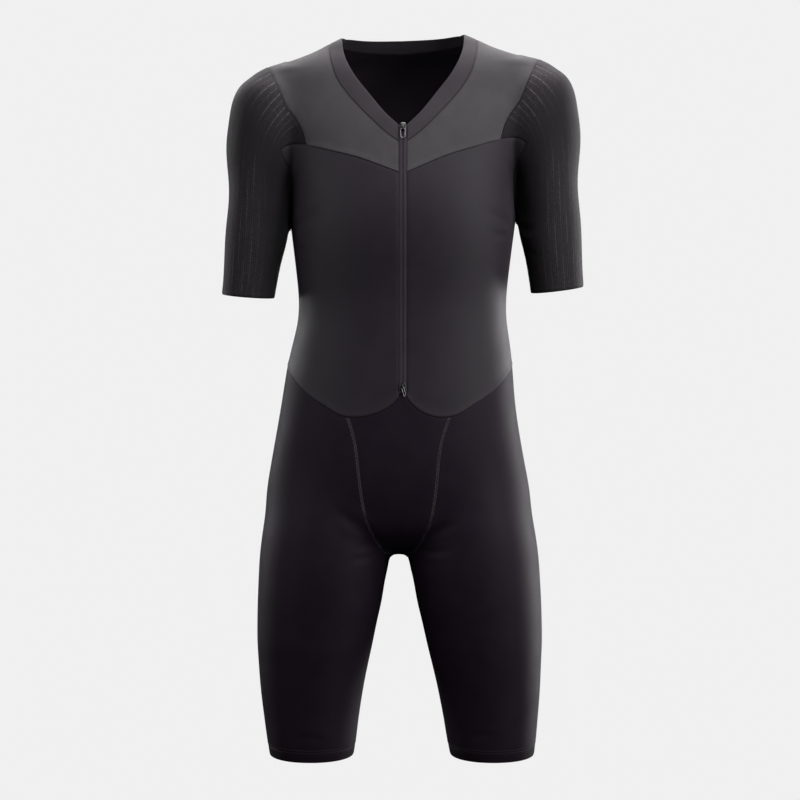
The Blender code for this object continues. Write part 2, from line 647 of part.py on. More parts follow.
def zip_grid(edges):
    """A grid on the zip's face, which has a column for each pair of a place across and its heights."""
    columns = [np.stack(np.broadcast_arrays(across, ZIP_DEPTH, heights), axis=1) for across, heights in edges]
    return onto(np.stack(columns, axis=1), 14, STRAIGHT_BACK)


def zip_frame(height):
    """The point of the zip at a height, with the directions across, down along and out from it."""
    at = onto([[0.0, ZIP_DEPTH, height]], 20, STRAIGHT_BACK)[0]
    out = outward(at)
    out[0] = 0.0
    out /= np.linalg.norm(out)
    return at, np.array([1.0, 0.0, 0.0]), np.array([0.0, -out[2], out[1]]), out


def placed(points, frame):
    """Points given as across, down and out from a place on the zip, in the suit's own frame."""
    at, across, down, out = frame
    points = np.asarray(points, float)
    return at + points[:, :1] * across + points[:, 1:2] * down + points[:, 2:] * out


def prism(outline, low, high):
    """A flat outline in x and down, raised between two levels."""
    count = len(outline)
    points = [(x, down, level) for level in (low, high) for x, down in outline]
    faces = [tuple(range(count)), tuple(range(2 * count - 1, count - 1, -1))]
    faces += [(k, k + count, (k + 1) % count + count, (k + 1) % count) for k in range(count)]
    return points, faces


def bridge_points(bridge):
    """A staple over the front plate, which the pull hangs from."""
    half, top, foot, hollow, height = bridge
    profile = [
        (top, 1.2), (top, height - 0.8), (top + 0.8, height), (foot - 0.8, height), (foot, height - 0.8), (foot, 1.2),
        (foot - 0.9, 1.2), (foot - 0.9, hollow), (top + 0.9, hollow), (top + 0.9, 1.2),
    ]
    count = len(profile)
    points = [(x, down, out) for x in (-half, half) for down, out in profile]
    faces = [tuple(range(count)), tuple(range(2 * count - 1, count - 1, -1))]
    faces += [(k, k + count, (k + 1) % count + count, (k + 1) % count) for k in range(count)]
    return points, faces


def joined_solids(name, pieces, frame, look):
    """One solid made of overlapping pieces."""
    made = [solid(f"{name}_{k}", placed(points, frame), faces, look, False) for k, (points, faces) in enumerate(pieces)]
    base = made[0]
    for other in made[1:]:
        join = base.modifiers.new(other.name, "BOOLEAN")
        join.operation, join.solver, join.object = "UNION", "EXACT", other
    bpy.context.view_layer.update()
    graph = bpy.context.evaluated_depsgraph_get()
    mesh = bpy.data.meshes.new_from_object(base.evaluated_get(graph))
    mesh.name = name
    for helper in made:
        bpy.data.objects.remove(helper)
    whole_body = bpy.data.objects.new(name, mesh)
    bpy.context.collection.objects.link(whole_body)
    return whole_body


def ring_mesh(ring):
    """A closed loop of wire hanging from its hinge: a bar, two sides and a round foot."""
    bar, level, half_top, half_foot, length, wire, swing = ring
    corner = np.linspace(0, np.pi, 9)
    foot_x = half_foot * np.cos(corner)
    foot_y = length - half_foot + half_foot * np.sin(corner)
    nose = 0.35 * half_top
    line = [(-half_top + nose, 0.0), (half_top - nose, 0.0), (half_top, nose)]
    line += list(zip(foot_x, foot_y)) + [(-half_top, nose)]
    line = np.array(line)
    before, after = np.roll(line, 1, axis=0), np.roll(line, -1, axis=0)
    run = (line - before) / np.linalg.norm(line - before, axis=1, keepdims=True)
    run = run + (after - line) / np.linalg.norm(after - line, axis=1, keepdims=True)
    run /= np.linalg.norm(run, axis=1, keepdims=True)
    side = np.stack([run[:, 1], -run[:, 0]], axis=1)
    around = np.linspace(0, 2 * np.pi, 9)[:-1] + np.pi / 8
    flat = line[:, None] + wire / 2 * np.cos(around)[None, :, None] * side[:, None]
    out = np.broadcast_to(level + wire / 2 * np.sin(around), flat.shape[:2])
    turn = np.radians(swing)
    x = flat[..., 0] * np.cos(turn) + flat[..., 1] * np.sin(turn)
    down = bar - flat[..., 0] * np.sin(turn) + flat[..., 1] * np.cos(turn)
    points = np.stack([x, down, out], axis=-1).reshape(-1, 3)
    count, sides = flat.shape[:2]
    faces = []
    for i in range(count):
        for j in range(sides):
            after_i, after_j = (i + 1) % count, (j + 1) % sides
            faces.append((i * sides + j, after_i * sides + j, after_i * sides + after_j, i * sides + after_j))
    return points, faces


def hinge_of(name):
    """Where a pull turns, as posed."""
    height, ring = {"top": (SLIDER_TOP, TOP_RING), "bottom": (SLIDER_FOOT, FOOT_RING)}[name]
    return posed(placed([[0.0, ring[0], ring[1]]], zip_frame(height)))[0]


CUTS = {name: closely_cut(table) for name, table in (("torso", TORSO), ("arm", ARM), ("leg", LEG))}
JUNCTIONS = junctions()


def main():
    """Makes every node of the suit."""
    for old in list(bpy.data.objects):
        bpy.data.objects.remove(old)
    looks = {
        "yoke": material("yoke_knit", (0.05, 0.046, 0.05), 0.75),
        "front": material("front_knit", (0.02, 0.018, 0.021), 0.8),
        "sleeve": material("ribbed_knit", (0.018, 0.016, 0.018), 0.85),
        "leg": material("leg_knit", (0.011, 0.009, 0.011), 0.7),
        "band": material("band_knit", (0.04, 0.037, 0.038), 0.8),
        "tape": material("zip_tape", (0.02, 0.018, 0.021), 0.8),
        "metal": material("coated_metal", (0.05, 0.05, 0.055), 0.4, 0.6),
    }
    sewn_panels(looks)
    zip_parts(looks)


if __name__ == "__main__":
    main()
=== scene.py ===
"""The looks of a short-sleeved cycling skinsuit in its worn form: knit panels, stitching, zip and studio.

Lengths are millimetres until a mesh is made, then metres. X runs across the body, the front faces -Y, Z is
up, and the origin is the middle of the neck opening. The cloth is laid on the same general figure as its
solids are.
"""

from __future__ import annotations

import logging
from collections.abc import Callable, Sequence
from dataclasses import dataclass, field
from enum import Enum

import bpy
import numpy as np
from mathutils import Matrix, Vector


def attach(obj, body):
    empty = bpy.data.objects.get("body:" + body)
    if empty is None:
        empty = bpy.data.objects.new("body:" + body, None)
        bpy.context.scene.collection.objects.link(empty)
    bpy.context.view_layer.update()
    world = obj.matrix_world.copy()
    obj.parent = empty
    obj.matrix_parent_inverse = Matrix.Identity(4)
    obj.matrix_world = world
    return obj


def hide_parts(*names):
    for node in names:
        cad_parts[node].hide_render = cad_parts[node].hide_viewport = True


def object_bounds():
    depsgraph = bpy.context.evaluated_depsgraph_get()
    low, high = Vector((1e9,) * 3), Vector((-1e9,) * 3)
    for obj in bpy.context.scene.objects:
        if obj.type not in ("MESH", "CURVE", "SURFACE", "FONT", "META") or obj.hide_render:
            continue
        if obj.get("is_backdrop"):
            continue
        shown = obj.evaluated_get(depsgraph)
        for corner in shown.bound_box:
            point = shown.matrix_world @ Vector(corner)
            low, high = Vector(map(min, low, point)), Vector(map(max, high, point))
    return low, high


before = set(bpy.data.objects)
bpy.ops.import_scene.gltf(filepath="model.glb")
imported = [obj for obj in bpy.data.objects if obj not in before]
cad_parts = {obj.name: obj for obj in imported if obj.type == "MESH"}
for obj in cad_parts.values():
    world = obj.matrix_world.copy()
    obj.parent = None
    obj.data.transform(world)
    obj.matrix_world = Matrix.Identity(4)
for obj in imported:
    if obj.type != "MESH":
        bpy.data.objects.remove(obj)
CAD_LOW, CAD_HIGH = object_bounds()

Array = np.ndarray
Material = bpy.types.Material
Socket = bpy.types.NodeSocket
MM = 0.001
TINY = 1e-12
TURN = 2 * np.pi
LINE_POINTS = 12  # points of a close line for each step or knot of it
FREE = (1.0, 1.0, 1.0)
FORWARD = (0.02, 1.0, 0.02)  # a seam known from the front moves in depth only
STRAIGHT_BACK = (0.0, 1.0, 0.0)
ACROSS = np.array([1.0, 0.0, 0.0])
ZIP_DEPTH = -98.0  # about where the zip lies, before it is laid on the figure
MARKS = ("seam_mm", "crest")  # a cloth's distance from its seams, which sets its painted seam shadow, and how strong a rib crest's painted highlight is
log = logging.getLogger("skinsuit")


def spline(knots: Sequence[float], values: Array, at: Array) -> Array:
    """A cubic spline with free ends through knots, straight beyond them.

    Args:
        knots: where the values stand, rising or falling.
        values: one number or one array for each knot.
        at: where to read the spline.

    Returns:
        The spline's value at each place.
    """
    knots, values, at = (np.asarray(v, float) for v in (knots, values, at))
    if knots[0] > knots[-1]:
        knots, values = knots[::-1], values[::-1]
    shape = at.shape + values.shape[1:]
    values, at = values.reshape(len(knots), -1), at.reshape(-1, 1)
    step = np.diff(knots)[:, None]
    slope = np.diff(values, axis=0) / step
    rows = np.arange(1, len(knots) - 1)
    matrix = np.eye(len(knots))
    matrix[rows, rows - 1] = step[:-1, 0]
    matrix[rows, rows] = 2 * (step[:-1, 0] + step[1:, 0])
    matrix[rows, rows + 1] = step[1:, 0]
    bend = np.zeros(values.shape)
    bend[1:-1] = 6 * np.diff(slope, axis=0)
    bend = np.linalg.solve(matrix, bend)
    inside = np.clip(at, knots[0], knots[-1])
    cell = np.clip(np.searchsorted(knots, inside[:, 0]) - 1, 0, len(knots) - 2)
    left, right, width = inside - knots[cell, None], knots[cell + 1, None] - inside, step[cell]
    curve = (bend[cell] * right**3 + bend[cell + 1] * left**3) / (6 * width)
    curve += (values[cell] / width - bend[cell] * width / 6) * right
    curve += (values[cell + 1] / width - bend[cell + 1] * width / 6) * left
    curve += (slope[0] - bend[1] * step[0] / 6) * np.minimum(at - knots[0], 0)
    curve += (slope[-1] + bend[-2] * step[-1] / 6) * np.maximum(at - knots[-1], 0)
    return curve.reshape(shape)


def eased(value: Array, low: float, high: float) -> Array:
    """0 below low, 1 above high, and a smooth step between them."""
    share = np.clip((value - low) / (high - low), 0, 1)
    return share * share * (3 - 2 * share)


def bell(away: Array, width: float) -> Array:
    """1 where away is 0, falling on both sides: e to the power of minus the square of away over width."""
    return np.exp(-((away / width) ** 2))


def unit(vectors: Array) -> Array:
    """The vectors at length one."""
    return vectors / np.maximum(np.linalg.norm(vectors, axis=-1, keepdims=True), TINY)


def run_of(line: Array, axis: int = 0) -> Array:
    """How far along a line, or along each line of a grid, every point lies."""
    step = np.linalg.norm(np.diff(line, axis=axis), axis=-1)
    start = np.zeros_like(np.take(step, [0], axis=axis))
    return np.concatenate([start, np.cumsum(step, axis=axis)], axis=axis)


def along(line: Array, share: Array) -> Array:
    """The points at some shares of a line's length."""
    run = run_of(line)
    return np.stack([np.interp(share * run[-1], run, column) for column in line.T], axis=1)


def curve_through(knots: Array, count: int) -> Array:
    """A line of some points through knots, by a spline of the run along them."""
    run = run_of(knots)
    return spline(run, knots, np.linspace(0, run[-1], count))


def mirrored(points: Array) -> Array:
    """The same points on the other side of the body."""
    return points * (-1.0, 1.0, 1.0)


@dataclass
class Figure:
    """A general figure of level cuts for torso, arm and leg, melted together at armpit, crotch and hip.

    Each table row is a cut: height, middle in x, half width, depth of the widest line, front and back.
    """

    torso: tuple = (
        (40.0, 0.0, 60.0, 26.0, -16.0, 62.0),
        (14.0, 0.0, 70.0, 24.0, -16.0, 63.0),
        (1.4, 0.0, 84.0, 20.0, -19.0, 65.0),
        (-5.5, 0.0, 99.0, 18.0, -25.0, 68.0),
        (-13.6, 0.0, 115.0, 17.0, -31.0, 72.0),
        (-21.7, 0.0, 134.5, 16.0, -38.0, 76.0),
        (-30.0, 0.0, 158.0, 15.0, -44.0, 81.0),
        (-40.0, 0.0, 173.0, 14.0, -51.0, 86.0),
        (-57.0, 0.0, 177.0, 12.0, -60.0, 92.0),
        (-80.0, 0.0, 175.0, 10.0, -69.0, 98.0),
        (-110.0, 0.0, 168.0, 8.0, -81.0, 104.0),
        (-145.0, 0.0, 157.0, 6.0, -91.5, 109.0),
        (-181.0, 0.0, 151.5, 5.0, -100.0, 112.0),
        (-220.0, 0.0, 150.0, 5.0, -106.0, 112.0),
        (-256.0, 0.0, 150.5, 5.0, -106.5, 109.0),
        (-304.0, 0.0, 147.8, 4.0, -102.0, 100.0),
        (-359.0, 0.0, 142.5, 2.0, -96.0, 89.0),
        (-387.0, 0.0, 143.6, 2.0, -95.0, 86.0),
        (-414.0, 0.0, 148.4, 2.0, -94.5, 86.0),
        (-442.0, 0.0, 153.6, 3.0, -95.0, 89.0),
        (-497.0, 0.0, 160.6, 4.0, -97.0, 98.0),
        (-553.0, 0.0, 169.5, 5.0, -98.0, 111.0),
        (-609.0, 0.0, 178.0, 6.0, -95.0, 118.0),
        (-645.0, 0.0, 176.0, 8.0, -89.0, 118.0),
        (-672.0, 0.0, 158.0, 12.0, -79.0, 109.0),
        (-690.0, 0.0, 128.0, 16.0, -62.0, 94.0),
        (-701.0, 0.0, 92.0, 18.0, -42.0, 76.0),
        (-708.0, 0.0, 48.0, 20.0, -18.0, 54.0),
    )
    arm: tuple = (
        (-37.0, 173.0, 13.0, 14.0, 0.0, 28.0),
        (-41.0, 174.0, 23.0, 13.0, -11.0, 37.0),
        (-47.0, 176.0, 29.8, 12.0, -20.0, 44.0),
        (-54.0, 179.0, 37.0, 11.0, -29.0, 51.0),
        (-66.0, 182.0, 45.0, 9.0, -40.0, 58.0),
        (-82.0, 184.0, 49.8, 8.0, -47.0, 62.0),
        (-104.0, 185.0, 53.0, 7.0, -50.5, 64.0),
        (-140.0, 187.5, 54.6, 6.0, -51.0, 63.0),
        (-167.0, 190.5, 50.6, 5.0, -49.0, 59.0),
        (-194.0, 194.5, 44.4, 4.0, -46.5, 54.0),
        (-222.0, 197.5, 42.0, 3.0, -45.0, 51.0),
        (-249.0, 200.7, 41.6, 3.0, -43.5, 49.0),
        (-277.0, 203.0, 41.3, 2.0, -42.5, 47.0),
        (-304.0, 206.5, 39.0, 2.0, -41.0, 45.0),
        (-331.0, 209.9, 37.2, 2.0, -39.5, 43.5),
        (-352.0, 212.8, 36.6, 2.0, -38.5, 42.5),
        (-380.0, 216.5, 36.4, 2.0, -38.0, 42.0),
    )
    leg: tuple = (
        (-560.0, 88.0, 58.0, 8.0, -58.0, 78.0),
        (-600.0, 93.0, 76.0, 8.0, -76.0, 98.0),
        (-640.0, 96.0, 85.5, 7.0, -86.0, 111.0),
        (-672.0, 99.0, 88.5, 6.0, -90.0, 112.0),
        (-700.0, 101.7, 90.0, 5.0, -91.0, 109.0),
        (-721.0, 103.8, 90.1, 5.0, -91.0, 106.0),
        (-749.0, 107.6, 88.0, 4.0, -90.0, 101.0),
        (-777.0, 110.8, 86.2, 4.0, -88.0, 96.5),
        (-805.0, 114.4, 83.4, 4.0, -85.0, 92.0),
        (-834.0, 117.6, 80.4, 4.0, -82.0, 87.5),
        (-862.0, 120.2, 76.6, 4.0, -78.0, 82.5),
        (-890.0, 122.6, 72.8, 4.0, -74.0, 77.5),
        (-919.0, 124.2, 68.9, 3.0, -70.0, 72.5),
        (-947.0, 125.1, 65.2, 3.0, -67.0, 68.0),
        (-975.0, 125.6, 61.6, 2.0, -64.0, 63.0),
        (-993.0, 126.0, 58.8, 2.0, -62.0, 60.0),
        (-1015.0, 127.0, 57.0, 2.0, -61.0, 58.0),
    )
    roundness: dict = field(default_factory=lambda: {"torso": 2.35, "arm": 2.05, "leg": 2.12})
    ends: dict = field(
        default_factory=lambda: {"torso": (-709.0, 60.0), "arm": (-385.0, -36.5), "leg": (-1060.0, -560.0)}
    )
    armpit_fillet: float = 27.0
    crotch_fillet: float = 26.0
    hip_fillet: float = 22.0
    reading: tuple = (-1070.0, 70.0, 0.5)  # the lowest and the highest cut that are read, and their step
    thinnest: float = 2.0
    slope_step: float = 2.0
    steepest: float = 5.0
    probe: float = 0.25
    least_push: float = 0.02
    longest_move: float = 8.0

    def __post_init__(self) -> None:
        """Reads every table closely once, so that a cut at any height is quick."""
        self.heights = np.arange(*self.reading)
        self.cuts = {}
        for name, table in (("torso", self.torso), ("arm", self.arm), ("leg", self.leg)):
            rows = np.array(table)
            self.cuts[name] = spline(rows[:, 0], rows[:, 1:], self.heights).T

    def cut(self, name: str, z: Array) -> list[Array]:
        """Middle, half width, depth of the widest line, front and back of a form at some heights."""
        return [np.interp(z, self.heights, column) for column in self.cuts[name]]

    def _level(self, name: str, x: Array, y: Array, z: Array) -> Array:
        """Distance from a form's level cut, as the radius times one less the inverse superellipse value."""
        middle, half, deep, front, back = self.cut(name, z)
        dx, dy = x - middle, y - deep
        half_depth = np.maximum(np.where(dy < 0, deep - front, back - deep), self.thinnest)
        power = self.roundness[name]
        share = np.abs(dx / np.maximum(half, self.thinnest)) ** power + np.abs(dy / half_depth) ** power
        return np.hypot(dx, dy) * (1 - 1 / np.maximum(share ** (1 / power), 1e-3))

    def _form(self, name: str, x: Array, y: Array, z: Array) -> Array:
        """The level distance divided by the secant of the form's slope, and cut off at the form's ends."""
        step = self.slope_step
        lower, upper = self._level(name, x, y, z - step), self._level(name, x, y, z + step)
        slope = np.clip((upper - lower) / (2 * step), -self.steepest, self.steepest)
        foot, top = self.ends[name]
        return np.maximum((upper + lower) / 2 / np.sqrt(1 + slope**2), np.maximum(z - top, foot - z))

    @staticmethod
    def _melt(a: Array, b: Array, width: float) -> Array:
        """The smaller of two distances, less a cubic term where they nearly agree."""
        overlap = np.clip(width - np.abs(a - b), 0, None) / width
        return np.minimum(a, b) - overlap**3 * width / 6

    def distance(self, points: Array) -> Array:
        """How far points lie outside the figure."""
        x, y, z = np.abs(points[..., 0]), points[..., 1], points[..., 2]
        upper = self._melt(self._form("torso", x, y, z), self._form("arm", x, y, z), self.armpit_fillet)
        legs = self._melt(self._form("leg", x, y, z), self._form("leg", -x, y, z), self.crotch_fillet)
        return self._melt(upper, legs, self.hip_fillet)

    def slope(self, points: Array) -> Array:
        """The gradient of distance(), from a small step each way along every axis."""
        found = np.empty(points.shape)
        for axis, step in enumerate(self.probe * np.eye(3)):
            found[..., axis] = self.distance(points + step) - self.distance(points - step)
        return found / (2 * self.probe)

    def outward(self, points: Array) -> Array:
        """The direction out of the figure at some points."""
        return unit(self.slope(points))

    def onto(self, points: Array, rounds: int = 8, freedom: Sequence[float] = FREE) -> Array:
        """Moves points onto the figure by Newton steps, mostly along the axes that have freedom.

        Args:
            points: any points near the figure.
            rounds: how many steps to take.
            freedom: how readily a point moves along x, y and z.

        Returns:
            The points on the figure.
        """
        points = np.array(points, float)
        for _ in range(rounds):
            slope = self.slope(points)
            push = slope * freedom
            size = np.maximum((push * slope).sum(-1), self.least_push)
            step = (self.distance(points) / size)[..., None] * push
            length = np.maximum(np.linalg.norm(step, axis=-1, keepdims=True), TINY)
            points -= step * np.minimum(1.0, self.longest_move / length)
        return points

    def loop(self, name: str, height: Array | float, count: int, inner: Array | None = None) -> Array:
        """A loop round a limb from its inner side, over the front, the outer side and the back.

        Args:
            name: the form.
            height: one height, or one for each point of the loop's line.
            count: how many steps the loop will be cut into.
            inner: a fixed point for the loop's start and end.

        Returns:
            A close line on the figure.
        """
        turn = np.linspace(0, TURN, LINE_POINTS * count + 1)
        z = np.broadcast_to(np.asarray(height, float), turn.shape)
        middle, half, deep, front, back = self.cut(name, z)
        share = 2 / self.roundness[name]
        cos, sin = np.cos(turn), np.sin(turn)
        x = middle - half * np.sign(cos) * np.abs(cos) ** share
        y = deep - np.where(sin > 0, deep - front, back - deep) * np.sign(sin) * np.abs(sin) ** share
        line = np.stack([x, y, z], axis=1)
        if inner is not None:
            line[0] = line[-1] = inner
        return self.onto(line)


@dataclass
class WornPose:
    """How the suit hangs on its wearer: the shoulder line leans and the hips sit a little aside."""

    lean: float = float(np.tan(np.radians(1.7)))
    lean_heights: tuple = (-500.0, -260.0)
    aside_heights: tuple = (-1000.0, -860.0, -640.0, -480.0, -400.0, -300.0, 20.0)
    aside: tuple = (0.0, -2.8, -4.9, -4.4, -0.5, 1.4, 1.4)
    plumb_heights: tuple = (-570.0, -485.0)
    plumb_width: float = 45.0
    plumb_aside: float = 1.0

    def __call__(self, points: Array) -> Array:
        """The points moved aside by a spline of their height, and up by their share of the lean.

        The zip's neighbourhood is held plumb, so there the move aside is the same at every height.
        """
        x, y, z = (points[..., c] for c in range(3))
        aside = spline(self.aside_heights, self.aside, z)
        plumb = bell(x, self.plumb_width) * eased(z, *self.plumb_heights)
        aside = aside + (self.plumb_aside - aside) * plumb
        return np.stack([x + aside, y, z + self.lean * x * eased(z, *self.lean_heights)], axis=-1)


@dataclass
class Seam:
    """A seam line cut into steps, the same ones for the panels on both of its sides."""

    line: Array
    count: int
    ease: float = 0.0

    def at(self, steps: Array) -> Array:
        """The points at some step numbers. Ease makes the first steps shorter, by mixing in their square."""
        share = steps / self.count
        return along(self.line, share * (1 - self.ease) + share**2 * self.ease)


@dataclass
class Edge:
    """A panel's edge of seams end to end, each as (seam, runs backwards, lies on the other side)."""

    runs: list

    @property
    def count(self) -> int:
        """How many steps the edge has."""
        return sum(seam.count for seam, _, _ in self.runs)

    def at(self, steps: Array) -> Array:
        """The points at some step numbers along the whole edge."""
        points = np.empty((len(steps), 3))
        start = 0
        for seam, backwards, other_side in self.runs:
            here = (steps >= start) & (steps <= start + seam.count)
            local = steps[here] - start
            found = seam.at(seam.count - local if backwards else local)
            points[here] = mirrored(found) if other_side else found
            start += seam.count
        return points

    def mirrored(self) -> Edge:
        """The same edge on the other side of the body."""
        return Edge([(seam, backwards, not other_side) for seam, backwards, other_side in self.runs])

    def reversed(self) -> Edge:
        """The same edge from its end to its start."""
        return Edge([(seam, not backwards, other_side) for seam, backwards, other_side in self.runs[::-1]])


@dataclass
class SeamPlan:
    """Every seam of the suit's right half, drawn through a few places on the figure."""

    figure: Figure
    zip_half: float = 5.6
    zip_top: float = -119.5
    yoke_top: float = -141.5
    yoke_foot: float = -181.3
    leg_band_top: float = -979.3
    leg_hem: float = -992.6
    sleeve_hem: tuple = (-353.0, -345.4)  # on the inner and on the outer side
    cap_foot: tuple = (131.3, -64.0, -142.4)
    yoke_steps: int = 10
    corner_steps: int = 4
    cap_steps: int = 10
    back_cap_steps: int = 5
    armhole_steps: int = 6
    side_steps: int = 7
    shoulder_steps: int = 4
    neck_steps: int = 5
    gusset_top_steps: int = 5
    waist_steps: int = 9
    sleeve_rows: int = 3
    gusset_rows: int = 9
    leg_rows: int = 6
    band_rows: int = 1
    thigh: float = -718.0  # the level that parts the seat from the leg's tube
    arm: tuple = (-256.0, -216.0)  # the same for the sleeve, at the armpit and on the outer side

    def __post_init__(self) -> None:
        """Lays the junctions on the figure, then the seams between them."""
        self.junctions = self._junctions()
        self.seams = self._seams()
        self.seams.update(self._loops())
        self.seams["inseam"] = self.seam(
            ("crotch", (8, 30, -711), (15.5, 22, -726), (21.5, 14, -752), (30, 8, -800), (43.5, 5, -861),
             (58, 4, -935), self.seams["knee"].line[0]),
            self.leg_rows, (1.0, 0.3, 0.3),
        )
        self.seams["underarm"] = self.seam(
            ("armpit", (160.5, 4, -277), (170, 3, -318), self.seams["sleeve_hem"].line[0]), self.sleeve_rows
        )
        self.seams.update(self._ends())

    def _junctions(self) -> dict[str, Array]:
        """Where three or more panels meet."""
        forward = {
            "neck_zip": (self.zip_half, -86, self.zip_top),
            "band_zip": (self.zip_half, -91, self.yoke_top),
            "yoke_zip": (self.zip_half, -99, self.yoke_foot),
            "waist_zip": (self.zip_half, -95, -482.5),
            "gusset_top": (70.0, -89, -509.6),
            "cap_foot": self.cap_foot,
            "corner": (165.5, -47, -149.5),
            "peak": (0.0, -95.0, -478.7),
        }
        around = {
            "neck_back": (0, 66, -3.5),
            "neck_shoulder": (78.0, 42, -0.5),
            "band_shoulder": (93, 46, -9),
            "band_back": (0, 77, -20.5),
            "cap_top": (181.5, 45, -50),
            "cap_back": (163, 74, -122),
            "armpit": (154, 6, -256),
            "waist_side": (153, 9, -446),
            "waist_back": (0, 90, -433),
            "crotch": (1.0, 36, -706),
        }
        made = {name: self.figure.onto([at], 20, FORWARD)[0] for name, at in forward.items()}
        made.update({name: self.figure.onto([at], 20)[0] for name, at in around.items()})
        for name in ("neck_back", "band_back", "waist_back"):
            made[name][0] = 0.0
        return made

    def seam(self, knots: Sequence, count: int, freedom: Sequence[float] = FREE, ease: float = 0.0) -> Seam:
        """A smooth seam through knots.

        Args:
            knots: points, or the names of junctions, in order.
            count: how many steps the seam has.
            freedom: how readily its points move along each axis to lie on the figure.
            ease: how much shorter the first steps are.

        Returns:
            The seam, a spline through the knots laid on the figure.
        """
        places = [self.junctions[knot] if isinstance(knot, str) else knot for knot in knots]
        line = curve_through(np.array(places, float), LINE_POINTS * len(places))
        line = self.figure.onto(line, 14, freedom)
        line[0], line[-1] = places[0], places[-1]
        return Seam(line, count, ease)

    def _loops(self) -> dict[str, Seam]:
        """The seams and parting lines that run round an arm or a leg."""
        around_leg, around_arm = 2 * self.waist_steps, self.cap_steps + self.back_cap_steps
        # a cosine of the turn slants a loop between its inner and its outer height
        slant = (1 - np.cos(np.linspace(0, TURN, LINE_POINTS * around_arm + 1))) / 2
        loops = {
            "knee": ("leg", self.leg_band_top, around_leg, None),
            "leg_hem": ("leg", self.leg_hem, around_leg, None),
            "thigh": ("leg", self.thigh, around_leg, self.junctions["crotch"]),
            "sleeve_hem": ("arm", np.interp(slant, (0, 1), self.sleeve_hem), around_arm, None),
            "arm": ("arm", np.interp(slant, (0, 1), self.arm), around_arm, self.junctions["armpit"]),
        }
        return {name: Seam(self.figure.loop(*loop), loop[2]) for name, loop in loops.items()}

    def _ends(self) -> dict[str, Seam]:
        """The short straight ends of bands and gusset."""
        seams, at = self.seams, self.junctions
        ends = {
            "band_end": (seams["knee"].line[0], seams["leg_hem"].line[0], self.band_rows),
            "peak": (at["peak"], at["waist_zip"], self.band_rows),
            "crotch_end": (at["crotch"] * (0, 1, 1), at["crotch"], 1 + self.gusset_top_steps),
            "neck_end": (at["neck_zip"], at["band_zip"], self.band_rows),
        }
        return {name: Seam(np.stack([start, end]), count) for name, (start, end, count) in ends.items()}

